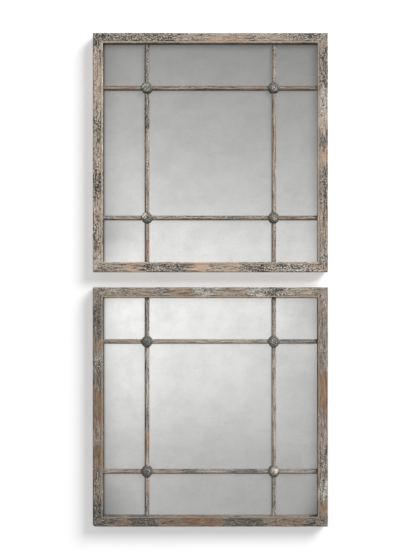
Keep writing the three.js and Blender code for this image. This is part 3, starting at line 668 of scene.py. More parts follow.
# Where each finish lies along a side, by field: (start, end, strength) or, for a stretch that
# keeps to one edge, (start, end, strength, middle), the middle going from 0 at the outer edge
# to 1 at the sight edge. Millimetres from the middle of the side, to the right on
# a rail and upwards on a stile.
WEAR = {
    "upper_top_rail": {
        "crackle": [(-225, -150, 0.95, 0.3), (-150, -60, 0.8), (-60, -10, 0.35), (130, 172, 0.45, 0.1),
            (170, 225, 0.75)],
        "bare": [(-10, 70, 0.45), (75, 120, 0.25)],
        "slate": [(-230, -205, 0.75), (168, 214, 0.9, 0.15)],
    },
    "upper_bottom_rail": {
        "crackle": [(-228, -200, 0.7), (-130, -78, 1.0), (-80, -50, 0.8), (54, 120, 0.85),
            (118, 196, 1.1), (196, 228, 0.5)],
        "bare": [(-160, -132, 0.8), (-33, -5, 1.0), (28, 60, 0.55)],
        "slate": [(-205, -160, 0.5, 0.7), (-130, -112, 0.8, 0.8), (-57, -35, 0.6, 0.85),
            (120, 196, 0.75)],
        "ivory": [(140, 190, 0.5)],
    },
    "upper_left_stile": {
        "crackle": [(175, 232, 0.6), (13, 85, 0.6), (-41, 13, 0.45), (-90, -41, 1.0), (-203, -125, 0.6),
            (-232, -205, 0.5)],
        "bare": [(85, 175, 0.35)],
        "slate": [(205, 232, 0.9), (18, 80, 0.55, 0.6), (-198, -179, 0.45)],
        "ivory": [(-123, -90, 0.3), (-232, -205, 0.5)],
    },
    "upper_right_stile": {
        "crackle": [(124, 205, 0.85), (71, 124, 0.75), (-84, -26, 0.6), (-148, -84, 0.55, 0.1),
            (-228, -182, 0.75)],
        "bare": [(176, 212, 0.3), (-28, 7, 0.65)],
        "slate": [(215, 232, 0.85), (70, 150, 0.65, 0.1), (5, 40, 1.0), (-84, -26, 0.7, 0.15),
            (-182, -160, 0.6, 0.1)],
        "ivory": [(41, 124, 0.7), (-148, -90, 0.2), (-225, -182, 0.55)],
    },
    "lower_top_rail": {
        "crackle": [(-228, -203, 0.6), (-32, 12, 0.75), (68, 105, 0.8), (103, 143, 0.7)],
        "bare": [(-78, -30, 0.5), (-57, -35, 0.9, 0.9), (12, 58, 0.3)],
        "slate": [(-228, -203, 0.6), (-206, -136, 0.35, 0.1), (-111, -84, 0.8), (103, 143, 0.75),
            (186, 228, 0.35)],
        "ivory": [(-32, 12, 0.6), (68, 105, 0.6), (145, 186, 0.4), (-200, 228, 0.35)],
    },
    "lower_bottom_rail": {
        "crackle": [(-228, -200, 0.6), (180, 202, 0.8), (202, 228, 0.5)],
        "bare": [(-189, -152, 0.6, 0.2), (-98, -57, 0.5), (-57, -18, 1.0), (-18, 23, 0.7),
            (108, 175, 0.4)],
        "slate": [(-228, -200, 1.2), (-200, -165, 0.7, 0.8), (-150, -98, 1.1), (25, 108, 0.95, 0.5),
            (180, 202, 0.8), (214, 230, 0.5, 0.1)],
    },
    "lower_left_stile": {
        "crackle": [(140, 206, 0.4), (68, 106, 0.85), (-165, -115, 0.5), (-232, -180, 0.55)],
        "bare": [(105, 132, 0.55), (-39, 30, 0.75), (-117, -78, 1.0)],
        "slate": [(203, 232, 0.55), (132, 206, 0.75), (30, 68, 0.6), (-232, -175, 1.0)],
        "ivory": [(68, 106, 0.5)],
    },
    "lower_right_stile": {
        "crackle": [(206, 232, 0.5), (-124, -85, 0.55), (-176, -146, 1.0)],
        "bare": [(180, 206, 0.35), (-14, 70, 1.0), (-206, -175, 0.75)],
        "slate": [(136, 180, 0.6, 0.8), (70, 136, 0.5), (-45, -14, 0.5), (-85, -64, 0.4),
            (-144, -124, 0.8), (-232, -206, 0.9)],
        "ivory": [(-124, -85, 0.4), (-176, -146, 0.7)],
    },
    # On the bars, slate at the ends is partly painted shade next to the frame, most at the top and right ends
    "upper_left_glazing_bar": {
        "crackle": [(137, 203, 0.8), (38, 112, 0.75)],
        "bare": [(38, 112, 0.6), (-82, -10, 0.35), (-212, -140, 0.7)],
        "slate": [(137, 212, 1.0)],
        "ivory": [(-60, 30, 0.4)],
    },
    "upper_right_glazing_bar": {
        "crackle": [(10, 100, 0.35)],
        "bare": [(-24, 102, 0.8), (-92, -24, 0.5), (-212, -160, 0.7)],
        "slate": [(180, 212, 0.8)],
        "ivory": [(137, 180, 0.3), (-92, -24, 0.3)],
    },
    "upper_top_glazing_bar": {
        "crackle": [(-49, 48, 0.5)],
        "bare": [(-206, -136, 0.85), (-113, -68, 0.5), (-40, 112, 0.7), (136, 207, 0.9)],
        "slate": [(-206, -180, 0.5), (190, 207, 0.7)],
        "ivory": [(-68, -24, 0.3)],
    },
    "upper_bottom_glazing_bar": {
        "crackle": [(-68, -10, 0.5)],
        "bare": [(140, 207, 0.7)],
        "slate": [(-206, -188, 0.8), (-10, 77, 0.55), (160, 207, 0.5)],
        "ivory": [(-190, -136, 0.3), (-98, -59, 0.5)],
    },
    "lower_left_glazing_bar": {
        "bare": [(140, 212, 0.4), (-93, -45, 0.9), (-171, -138, 0.7)],
        "slate": [(140, 212, 0.6), (43, 86, 0.6), (-45, -2, 0.85), (-210, -171, 0.9)],
        "ivory": [(82, 112, 0.6), (-6, 43, 0.4)],
    },
    "lower_right_glazing_bar": {
        "crackle": [(-210, -138, 0.45)],
        "bare": [(140, 188, 0.3), (-113, -45, 0.5)],
        "slate": [(188, 212, 0.7), (-45, -25, 0.7), (-210, -138, 0.65)],
        "ivory": [(0, 112, 0.5), (-113, -45, 0.45)],
    },
    "lower_top_glazing_bar": {
        "bare": [(-189, -156, 0.8), (-98, -39, 0.3)],
        "slate": [(-207, -189, 0.8), (136, 207, 0.95)],
        "ivory": [(-156, -138, 0.4), (-39, 87, 0.5)],
    },
    "lower_bottom_glazing_bar": {
        "bare": [(-205, -136, 0.5), (-98, -59, 1.0)],
        "slate": [(-205, -136, 0.3), (-59, -24, 1.0), (38, 106, 0.8), (192, 207, 0.8)],
        "ivory": [(-20, 38, 0.35), (136, 194, 0.3)],
    },
}
# Brown soil rubbed all over a side
SOIL = {
    "upper_top_rail": 0.25, "upper_bottom_rail": 0.08, "upper_right_stile": 0.34,
    "lower_bottom_rail": 0.52, "lower_left_stile": 0.36, "lower_right_stile": 0.12,
}
PATCH_EDGE = 8.0  # how gradually a patch ends
PATCH_RAGGED = 15.0  # how far the ripple moves a patch's ends
PATCH_BAND = 0.33  # half width of a patch that keeps to one edge, as a share of the side's
BAND_EDGE = 0.3  # how gradually it ends
STRAY_CRACKLE = 0.35  # crackle and slate that lie anywhere
STRAY_SLATE = 0.30
EDGE_RUB = 0.35  # pale wear on the outer edge and on the bead
BEAD_RUB = 0.80
CORNER_REACH = 14  # how far the worn corners reach along a side
UPRIGHT_LINE = -0.2  # where the pale line of a bar, partly rubbed paint and partly a painted highlight, lies off its ridge
LEVEL_LINE = 0.9

# Painted shade in the quirk groove
QUIRK_SHADE = {"upper": 0.30, "lower": 0.0}
QUIRK_DEPTH = {"upper": 1.3, "lower": 0.7}  # how deep the groove still is under the old paint
SIGHT_SHADE = {  # painted shade on the inner faces, down to the glass
    "upper": {"top": 0.90, "left": 0.85, "right": 0.0, "bottom": 0.25},
    "lower": {"top": 0.90, "left": 0.30, "right": 0.0, "bottom": 0.25},
}
SIGHT_FLANK_LIGHT = {"upper": 1.5, "lower": 0.5}  # painted light on the right stile's inner face, laid on as pale paint
BAR_LINES = {"upper": 0.55, "lower": 0.30}  # painted shade: dark lines along the bars, either side of the pale ridge line
BAR_FLANK_LIGHT = {"left": 0.4, "right": 1.1}  # painted light on the left flank of an upright bar, laid on as pale paint
BAR_RUBBED = 0.3  # off each flank of a bar
LEVEL_BAR_SHADE_AND_LIGHT = {  # a darker upper flank, painted shade on the lower flank, and painted light on the lower one
    "upper_top_glazing_bar": (0.50, 0.55, 0.0), "upper_bottom_glazing_bar": (0.35, 0.35, 0.0),
    "lower_top_glazing_bar": (0.25, 0.0, 1.3), "lower_bottom_glazing_bar": (0.30, 0.25, 0.0),
}
CORNER_ROUND = 1.8  # wear on the frame's outer corners
WORST_CORNER = {"lower", "left", "bottom"}
WORST_CORNER_ROUND = 7.0
def cover(fields, key, strength):
    """A field rises to strength wherever it is lower."""
    fields[key] = np.maximum(fields[key], strength)


def wear_fields(name, along, inward, width, seed):
    """The paint fields of a side: each patch is 1 inside its stretch and falls off at its ends,
    which a ripple makes ragged. A little of the crackle and the slate lies anywhere."""
    fields = {key: np.zeros(along.shape) for key in ("crackle", "bare", "slate", "ivory")}
    ragged = along + PATCH_RAGGED * ripple(along, inward, 45.0, 2.2, seed)
    for key, patches in WEAR[name].items():
        for start, end, strength, *band in patches:
            patch = smooth(ragged, start - PATCH_EDGE, start + PATCH_EDGE)
            patch *= 1 - smooth(ragged, end - PATCH_EDGE, end + PATCH_EDGE)
            if band:
                off_band = np.abs(inward / width - band[0])
                patch *= 1 - smooth(off_band, PATCH_BAND, PATCH_BAND + BAND_EDGE)
            cover(fields, key, strength * patch)
    fields["soil"] = SOIL.get(name, 0.0) + 0 * along
    stray = ripple(along, inward, 21.0, 7.0, seed + 1)
    cover(fields, "crackle", STRAY_CRACKLE * smooth(stray, -0.2, 0.8))
    cover(fields, "slate", STRAY_SLATE * smooth(-stray, 0.1, 0.9))
    return fields


def grain_field(along, around, seed):
    """The paint's own coordinate: along, round the section, and a number that sets the pieces apart."""
    return np.stack(np.broadcast_arrays(along, around, 40.0 * seed), -1)


# ---------------------------------------------------------------- pieces

def moulding_section(width, front, back, glass_front, quirk_depth):
    """The frame's section as (inward, Y): a round outer edge, a flat face, a quirk that old paint
    has partly filled, a round bead along the sight edge, the rebate behind it and the flat back."""
    bead = BEAD_WIDTH / 2
    quirk = width - BEAD_WIDTH
    middle = front + BEAD_SINK + bead
    bead_start = 180 + math.degrees(math.asin((BEAD_SINK + bead - quirk_depth) / bead))
    wall = width - REBATE_WIDTH
    return np.concatenate([
        [(0, back)],
        arc((EDGE_ROUND, front + EDGE_ROUND), (EDGE_ROUND, EDGE_ROUND), 180, 270, 7),
        [(quirk, front), (quirk + QUIRK_SLOPE, front + quirk_depth)],
        arc((quirk + bead, middle), (bead, bead), bead_start, 360, 12),
        [(width, glass_front), (wall, glass_front), (wall, back)],
    ])


def waves(kinds, along, around, seed):
    """Two ripples, each from 0 to twice its half height."""
    return [half * (1 + ripple(along, around, pitch_along, pitch_across, seed + number))
            for number, (half, pitch_along, pitch_across) in enumerate(kinds)]


def chips(along, around, places, seed):
    """Dents knocked into an edge: bell curves of random depth and length along it, at the
    distances round the section that places names with their reach and greatest depth."""
    random = np.random.default_rng(seed)
    depth = np.zeros(np.broadcast(along, around).shape)
    length = float(np.ptp(along))
    for place, reach, most in places:
        for _ in range(int(length / CHIP_SPACING)):
            at = random.uniform(along.min(), along.max())
            long = random.uniform(1.2, 5.5)
            deep = most * random.uniform(0.15, 1.0) ** 2
            depth += deep * np.exp(-((along - at) / long) ** 2 - ((around - place) / reach) ** 2)
    return depth


def frame_side(mirror, side, edges, material, seed):
    """One rail or stile: the moulding's section carried along the side, each ring drawn in at
    the mitres by its own distance inward, then worn: ripples of old paint, chipped edges and
    rounded corners all take material away, so the piece stays inside its solid."""
    left, right, bottom, top, front, back, glass_front, width = edges
    name = frame_name(mirror, side)
    upright = side in UPRIGHT
    ends = ends_of(side)
    half = (top - bottom) / 2 if upright else (right - left) / 2
    section = evenly(moulding_section(width, front, back, glass_front, QUIRK_DEPTH[mirror]), SECTION_STEP)
    normal = round_normals(section)
    around = running_length(section)
    inward, level = section[:, 0], section[:, 1]
    share = np.linspace(0, 1, int(2 * half / STATION_STEP))[:, None]
    drawn = inward + JOINT_LINE / 2
    along = (-half + drawn) * (1 - share) + (half - drawn) * share

    wall = width - REBATE_WIDTH
    painted = ~((level > back - NEAR) & (inward > NEAR))
    painted &= ~((level > glass_front - NEAR) & (inward > wall - NEAR) & (inward < width - NEAR))
    fields = wear_fields(name, along, inward, width, seed)

    quirk = width - BEAD_WIDTH
    outer_edge = around[np.argmin(np.hypot(inward - 0.6, level - front - 0.6))]
    face_edge = around[np.argmin(np.hypot(inward - quirk, level - front))]
    bead_top = around[np.argmin(np.hypot(inward - (width - BEAD_WIDTH / 2), level - front - BEAD_SINK))]
    long_wave, short_wave = waves(SIDE_WAVES, along, around, seed + 2)
    wave = long_wave + short_wave * (0.4 + fields["crackle"])
    wave += BARE_HOLLOW * smooth(fields["bare"], 0.3, 0.9)
    worn = chips(along, around, [
        (outer_edge, *EDGE_CHIPS), (bead_top, *BEAD_CHIPS), (face_edge - 0.5, *FACE_CHIPS)], seed + 4)
    depth = np.where(painted, wave + worn, 0.0)
    place_in = inward - depth * normal[:, 0]
    place_y = level - depth * normal[:, 1]

    for end, met in zip((-1, 1), ends):
        radius = WORST_CORNER_ROUND if {mirror, side, met} == WORST_CORNER else CORNER_ROUND
        far_along, far_in = radius - (half - end * along), radius - place_in
        reach = np.hypot(far_along, far_in)
        out = (far_along > 0) & (far_in > 0) & (reach > radius)
        pull = np.where(out, radius / np.maximum(reach, 1e-9), 1.0)
        along = np.where(out, end * (half - radius + far_along * pull), along)
        place_in = np.where(out, radius - far_in * pull, place_in)

    start, way = {"bottom": (bottom, 1), "top": (top, -1), "left": (left, 1), "right": (right, -1)}[side]
    across = start + way * place_in
    rings = [across, place_y, (bottom + top) / 2 + along] if upright else [along, place_y, across]

    # Painted shade in the quirk and on the inner faces down to the glass, and painted light on the right
    # stile's inner face
    on_quirk = bell(inward - quirk, 0.3, 0.55) * (level > front + 0.3)
    under_bead = smooth(level, front + 2.0, front + 4.0) * (inward > width - NEAR)
    corner_wear = smooth(np.abs(along), half - CORNER_REACH, half)
    broken = 0.75 + 0.25 * ripple(along, around, 15.0, 3.0, seed + 6)
    pale_lines = EDGE_RUB * bell(around, outer_edge, 1.6) + BEAD_RUB * bell(around, bead_top, 1.5)
    fields["rub"] = pale_lines + 0 * along
    if side == "right":
        inner_flank = smooth(inward, width - BEAD_WIDTH / 2, width - 0.4) * (level < glass_front)
        cover(fields, "ivory", SIGHT_FLANK_LIGHT[mirror] * inner_flank)
        fields["rub"] = fields["rub"] * (1 - 0.9 * inner_flank)
    shade_painted = np.maximum(QUIRK_SHADE[mirror] * on_quirk, SIGHT_SHADE[mirror][side] * under_bead)
    fields["grime_and_shade"] = shade_painted * broken
    cover(fields, "slate", 0.35 * corner_wear)
    cover(fields, "crackle", 0.5 * corner_wear)
    for key, on_raw_wood in (("bare", 1.5), ("crackle", -1.0), ("slate", -1.0), ("ivory", -1.0)):
        fields[key] = np.where(painted, fields[key], on_raw_wood)
    fields["grain"] = grain_field(along, around, seed)
    piece = skin(f"painted_{name}", np.stack(rings, -1), fields)

    corners = [(end, side) if upright else (side, end) for end in ends]
    carve(piece, [point_slot(mirror, side, wall)] + [nail_pocket(mirror, *corner) for corner in corners])
    settle(piece, name, material)


def point_slot(mirror, side, wall):
    """The slot that a glazing point is driven into, open to the rebate."""
    low, high = box_mm(f"{mirror}_{side}_glazing_point")
    low, high = low - DRIVE_GAP, high + DRIVE_GAP
    frame_low, frame_high = box_mm(frame_name(mirror, side))
    axis = 0 if side in UPRIGHT else 2
    if side in ("left", "bottom"):
        high[axis] = frame_low[axis] + wall + 2 * PAST
    else:
        low[axis] = frame_high[axis] - wall - 2 * PAST
    return block(low, high)


def nail_leg(low, high, from_low):
    """Where the pocket of one leg of an angled nail starts, where its sheet's thickness ends and
    where the leg ends. The leg runs up from low, or down from high."""
    near, far, way = (low, high, 1) if from_low else (high, low, -1)
    return near - way * DRIVE_GAP, near + way * NAIL_SHEET + way * DRIVE_GAP, far + way * DRIVE_GAP


def nail_pocket(mirror, level, hand):
    """Room for the angled corner nail that joins two sides, open at the back."""
    low, high = box_mm(f"{mirror}_{level}_{hand}_corner_nail")
    x_out, x_in, x_far = nail_leg(low[0], high[0], hand == "left")
    z_out, z_in, z_far = nail_leg(low[2], high[2], level == "bottom")
    outline = [(x_out, z_out), (x_far, z_out), (x_far, z_in), (x_in, z_in), (x_in, z_far), (x_out, z_far)]
    return prism(outline, low[1] - DRIVE_GAP, high[1] + 2 * PAST)


def bar_section(half, back, depth):
    """A glazing bar's section as (across, Y): a flat back, short sides and an elliptic round."""
    return np.concatenate([
        [(half, back), (-half, back)],
        arc((0, back - BAR_SIDE), (half, depth - BAR_SIDE), 180, 360, 19),
    ])


def bar_block(upright, along, across, level):
    """A box on a bar, from its spans along the bar, across it and in Y."""
    x, z = (across, along) if upright else (along, across)
    return block(*zip(x, level, z))


def glazing_bar(mirror, side, material, seed):
    """One bar: its section carried along it, worn by ripples and chips, with its tenons joined
    on, and halved and bored at its two crossings."""
    upright = side in UPRIGHT
    name = f"{mirror}_{side}_glazing_bar"
    low, high = box_mm(name)
    axis, cross = (2, 0) if upright else (0, 2)
    middle = (high[cross] + low[cross]) / 2
    half = (high[cross] - low[cross]) / 2 - BAR_RUBBED
    back, depth = high[1], high[1] - low[1]
    ends = ends_of(side)
    start = box_mm(frame_name(mirror, ends[0]))[1][axis]
    end = box_mm(frame_name(mirror, ends[1]))[0][axis]
    crossed = [box_mm(f"{mirror}_{other}_glazing_bar") for other in ends]
    section = evenly(bar_section(half, back, depth), SECTION_STEP * 0.7)
    normal = round_normals(section)
    around = running_length(section)
    offset, level = section[:, 0], section[:, 1]
    stations = np.linspace(start + BAR_END_GAP, end - BAR_END_GAP, int((end - start) / STATION_STEP))
    along = stations[:, None] + 0 * offset
    long_wave, short_wave = waves(BAR_WAVES, along, around, seed)
    ridge = around[np.argmin(level)]
    flanks = [(ridge + way, *FLANK_CHIPS) for way in (-FLANK_WAY, FLANK_WAY)]
    worn = chips(along, around, [(ridge, *RIDGE_CHIPS)] + flanks, seed + 2)
    depth_in = np.where(level < back - NEAR, long_wave + short_wave + worn, 0.0)
    across = middle + offset - depth_in * normal[:, 0]
    y = level - depth_in * normal[:, 1]
    rings = [across, y, along] if upright else [along, y, across]

    # Slate darkening round the crossings and at the ends, partly dark paint and partly painted shade next to
    # the rosettes and the frame, and a wandering pale line along the ridge, partly rubbed paint and partly a
    # painted highlight
    fields = wear_fields(name, along - (start + end) / 2, offset + half, 2 * half, seed)
    from_crossing = np.min([np.abs(along - (a[axis] + b[axis]) / 2) for a, b in crossed], axis=0)
    from_end = np.minimum(along - start, end - along)
    cover(fields, "slate", np.maximum(0.5 * bell(from_crossing, 11, 6), 0.7 * (1 - smooth(from_end, 2, 14))))
    wander = 1.5 * ripple(along, 0 * along, 42.0, 3.0, seed + 5)
    wander += 0.4 * ripple(along, 0 * along, 11.0, 3.0, seed + 8)
    line = offset + wander + (UPRIGHT_LINE if upright else LEVEL_LINE)
    broken = smooth(ripple(along, line + 50, 24.0, 3.0, seed + 6), -0.2, 0.6)
    dark_lines = bell(np.abs(line), 2.2, 0.9) * broken
    if upright:
        # Painted shade at the foot of the right flank, and painted light on the left flank laid on as pale
        # paint
        flank = np.where(offset < 0, 0.0, 0.5) * smooth(level, back - 1.6, back - 0.3)
        cover(fields, "ivory", BAR_FLANK_LIGHT[side] * smooth(-offset, 2.2, 4.2))
    else:
        above, below, chalk_and_light = LEVEL_BAR_SHADE_AND_LIGHT[name]
        # A darker upper flank, painted shade on the lower flank and painted light on the lower one
        flank = above * smooth(offset, 0.6, 2.6) + below * smooth(-offset, 2.9, 4.4)
        cover(fields, "ivory", chalk_and_light * smooth(-offset, 2.2, 3.6))
    # Painted shade on the flanks and in dark lines, and a pale ridge line that is partly rubbed paint and
    # partly a painted highlight
    fields["grime_and_shade"] = np.maximum(flank, BAR_LINES[mirror] * dark_lines)
    fields["rub"] = 0.8 * bell(line, 0, 0.9) * (0.8 + 0.5 * ripple(along, line + 50, 22.0, 4.0, seed + 7))
    fields["grain"] = grain_field(along, around, seed)
    piece = skin(f"painted_{name}", np.stack(rings, -1), fields)

    tenon_across = (middle - TENON_WIDTH / 2, middle + TENON_WIDTH / 2)
    tenon_level = (back - TENON_SET - TENON_THICKNESS, back - TENON_SET)
    carve(piece, [
        bar_block(upright, sorted(span), tenon_across, tenon_level)
        for span in ((start + TENON_ROOT, low[axis]), (end - TENON_ROOT, high[axis]))], "UNION")
    lap_level = back - depth / 2
    cut_across = (middle - half - PAST, middle + half + PAST)
    behind, before = (lap_level - LAP_GAP / 2, back + PAST), (low[1] - PAST, lap_level + LAP_GAP / 2)
    laps, holes = [], []
    for a, b in crossed:
        span = (a[axis] - LAP_GAP, b[axis] + LAP_GAP)
        x, z = (middle, sum(span) / 2) if upright else (sum(span) / 2, middle)
        laps.append(bar_block(upright, span, cut_across, behind if upright else before))
        holes.append(peg(x, z, PIN_RADIUS + PIN_GAP, low[1] - PAST, back - PIN_FLOOR))
    carve(piece, laps)
    carve(piece, holes)
    settle(piece, name, material)


def between_petals(angle):
    """0 in the middle of a large petal and 1 between two: 1 minus the root of a cosine."""
    return 1 - np.abs(np.cos(PETALS * angle / 2)) ** 0.6


def rosette_height(share, angle, height):
    """Height over the rosette's back at a share of its radius and an angle: a domed button in a
    groove, six small petals round it, and behind them six large ones turned by half a petal.
    A petal rises and falls outwards as half a sine, and round it as the root of a cosine."""
    outer = np.abs(np.cos(PETALS * angle / 2)) ** 0.6
    inner = np.abs(np.sin(PETALS * angle / 2)) ** 0.6
    button = 0.80 + 0.20 * np.sqrt(np.clip(1 - (share / BUTTON) ** 2, 0, 1))
    large = 0.17 + 0.34 * np.sin(np.pi * np.clip((share - 0.40) / 0.60, 0, 1)) ** 0.8 * (0.45 + 0.55 * outer)
    small = 0.40 + 0.42 * np.sin(np.pi * np.clip((share - 0.10) / 0.54, 0, 1)) ** 0.7 * (0.40 + 0.60 * inner)
    small = small * (1 - smooth(share, 0.58, 0.64))
    groove = 0.10 * np.exp(-((share - BUTTON - 0.02) / 0.03) ** 2)
    return height * (np.where(share < BUTTON, button, np.maximum(large, small)) - groove)


# How the pale rub lies on each rosette: how much, round which place (right, up), how far it spreads, both in
# shares of the radius, how dark the painted shade on the lower rim is and how much slate it keeps.
ROSETTE_RUB = {
    ("upper", "top_left"): (0.90, (-0.20, 0.15), 0.75, 1.0, 0.5),
    ("upper", "top_right"): (0.95, (0.05, -0.05), 0.48, 0.9, 0.6),
    ("upper", "bottom_left"): (1.35, (-0.40, 0.35), 0.48, 0.8, 0.4),
    ("upper", "bottom_right"): (1.35, (0.05, 0.0), 0.40, 1.0, 0.55),
    ("lower", "top_left"): (0.25, (0.2, 0.3), 0.7, 0.2, 0.9),
    ("lower", "top_right"): (0.40, (0.0, 0.1), 0.9, 0.3, 0.5),
    ("lower", "bottom_left"): (0.35, (0.3, 0.2), 0.6, 0.2, 0.9),
    ("lower", "bottom_right"): (1.6, (0.15, 0.2), 0.62, 0.5, 0.3),
}


def rosette(mirror, corner, material, seed):
    """A cast rosette with its pin: rings round the axis Y, from a small face at the front over
    the relief to the scalloped rim, across the flat back and down the pin."""
    name = f"{mirror}_{corner}_rosette"
    rub, at, spread, shade_painted, patina = ROSETTE_RUB[(mirror, corner)]
    low, high, x, z, radius = round_box(name)
    front, tip = low[1], high[1]
    back = tip - PIN_LENGTH
    height = (back - front) * 0.985
    angle = turns(144)[None, :]
    share = np.concatenate([
        [0.02], np.linspace(0.04, BUTTON - 0.015, 6), np.linspace(BUTTON, BUTTON + 0.08, 8),
        np.linspace(BUTTON + 0.1, 0.97, 30)])[:, None]
    relief = rosette_height(share, angle, height)
    plan_x, plan_z = radius * share * np.cos(angle), radius * share * np.sin(angle)
    relief *= 1 - 0.05 * (1 + ripple(plan_x + 50, plan_z + 50, 1.6, 1.6, seed))
    scallop = 1 - SCALLOP * smooth(share, 0.55, 1.0) * between_petals(angle)
    rim = radius * (1 - SCALLOP * between_petals(angle))
    turned = [(radius * share * scallop, back - relief)]
    for part, lift in ROSETTE_RIM:
        turned.append((rim * part, back - height * lift + 0 * angle))
    for part, level in ((1.0, back), (1.0, tip - 0.5), (0.5, tip)):
        turned.append((PIN_RADIUS * part + 0 * angle, level + 0 * angle))
    radii, levels = (np.concatenate(column) for column in zip(*turned))
    turn = angle + 0 * radii
    rings = np.stack([x + radii * np.cos(turn), levels, z + radii * np.sin(turn)], -1)

    lifted = (back - levels) / height
    out = radii / radius
    plan_x, plan_z = out * np.cos(turn), out * np.sin(turn)
    # Painted shade on the lower rim
    below = smooth(-plan_z, 0.25, 0.75) * smooth(out, 0.55, 0.85)
    groove = 0.4 * np.exp(-((out - BUTTON - 0.02) / 0.03) ** 2)
    patch = np.exp(-((plan_x - at[0]) ** 2 + (plan_z - at[1]) ** 2) / spread ** 2)
    strokes = ripple(plan_x + plan_z + 9, plan_x - plan_z + 9, 1.1, 0.24, seed + 1)
    fields = {
        "high": smooth(lifted, 0.30, 0.75),
        "hollow_and_shade": np.clip(groove + 0.8 * smooth(-lifted, -0.24, -0.10) + shade_painted * below, 0, 1),
        "rub": np.clip(rub * patch * (1 + 1.1 * strokes), 0, 2) + 0 * levels,
        "patina": np.clip(patina * (1 - 0.6 * patch) + 0.35 * smooth(out, 0.65, 0.95), 0, 1),
    }
    settle(skin(f"cast_{name}", rings, fields, 50.0), name, material)


def sheet(name, node, seam, material):
    """A flat sheet with seamed edges: rings round its outline, from the front face drawn in by
    the seam, down the edge and to the back face drawn in alike."""
    low, high = box_mm(node)
    half, middle = (high - low)[[0, 2]] / 2, (high + low)[[0, 2]] / 2
    unit = evenly(np.array([(-1.0, -1.0), (1.0, -1.0), (1.0, 1.0), (-1.0, 1.0)]), 0.05)
    rings = []
    for inset, level in ((seam, low[1]), (0, low[1] + seam), (0, high[1] - seam), (seam, high[1])):
        outline = unit * (half - inset) + middle
        rings.append(np.stack([outline[:, 0], np.full(len(unit), level), outline[:, 1]], 1))
    settle(skin(name, np.array(rings)), node, material)


def hanger_ring(mirror, side, material):
    """A bent wire: its section carried along the line out of the strap's loop, round a corner,
    down one side, round the bow and back, tilted about its pivot as it hangs."""
    node = f"{mirror}_{side}_hanger_ring"
    joint = next(j for j in frame["joints"] if j["child"] == f"{mirror}_{side}_ring")
    pivot = np.array(joint["pos_m"]) / MM
    low, high = box_mm(node)
    half = (high[0] - low[0]) / 2 - WIRE_RADIUS
    stand = (high[1] - WIRE_RADIUS) - pivot[1]
    lean = math.asin(stand / RING_REACH)
    bow = half - RING_REACH
    bend = half - RING_CORNER
    right = np.concatenate([
        np.stack([np.linspace(RING_SLIT / 2, bend, 6)[:-1], np.zeros(5)], 1),
        arc((bend, -RING_CORNER), (RING_CORNER, RING_CORNER), 90, 0, 9),
        np.stack([np.full(5, half), np.linspace(-RING_CORNER, bow, 7)[1:-1]], 1),
        arc((0, bow), (half, half), 0, -90, 19),
    ])
    line = np.concatenate([right, right[-2::-1] * [-1, 1]])
    path = np.stack([line[:, 0], -line[:, 1] * math.sin(lean), line[:, 1] * math.cos(lean)], 1)
    tangent = np.gradient(path, axis=0)
    tangent /= np.linalg.norm(tangent, axis=1, keepdims=True)
    flat = np.array([0, math.cos(lean), math.sin(lean)])
    side_way = np.cross(tangent, flat)
    angle = turns(16)[None, :, None]
    section = np.cos(angle) * flat + np.sin(angle) * side_way[:, None, :]
    rings = (path[:, None, :] + WIRE_RADIUS * section) + pivot
    settle(skin(f"wire_{node}", rings), node, material, f"{mirror}_{side}_ring")


def wall_bumper(mirror, side, material):
    """A turned rubber button: rings round the axis Y from its flat foot over a soft shoulder."""
    node = f"{mirror}_{side}_wall_bumper"
    low, high, x, z, radius = round_box(node)
    foot = [(radius - BUMPER_FOOT, low[1]), (radius, low[1] + BUMPER_FOOT)]
    round_middle = (radius - BUMPER_SHOULDER, high[1] - BUMPER_SHOULDER)
    profile = np.concatenate([foot, arc(round_middle, (BUMPER_SHOULDER, BUMPER_SHOULDER), 0, 90, 7)])
    angle = turns(48)
    rings = np.stack([
        x + profile[:, :1] * np.cos(angle),
        profile[:, 1:] + 0 * angle,
        z + profile[:, :1] * np.sin(angle)], -1)
    settle(skin(f"button_{node}", rings), node, material)


def copied(way, node, bevel, material):
    """A piece that is its own solid with rounded edges, named after the way it is made or set."""
    settle(refined(f"{way}_{node}", node, bevel), node, material)


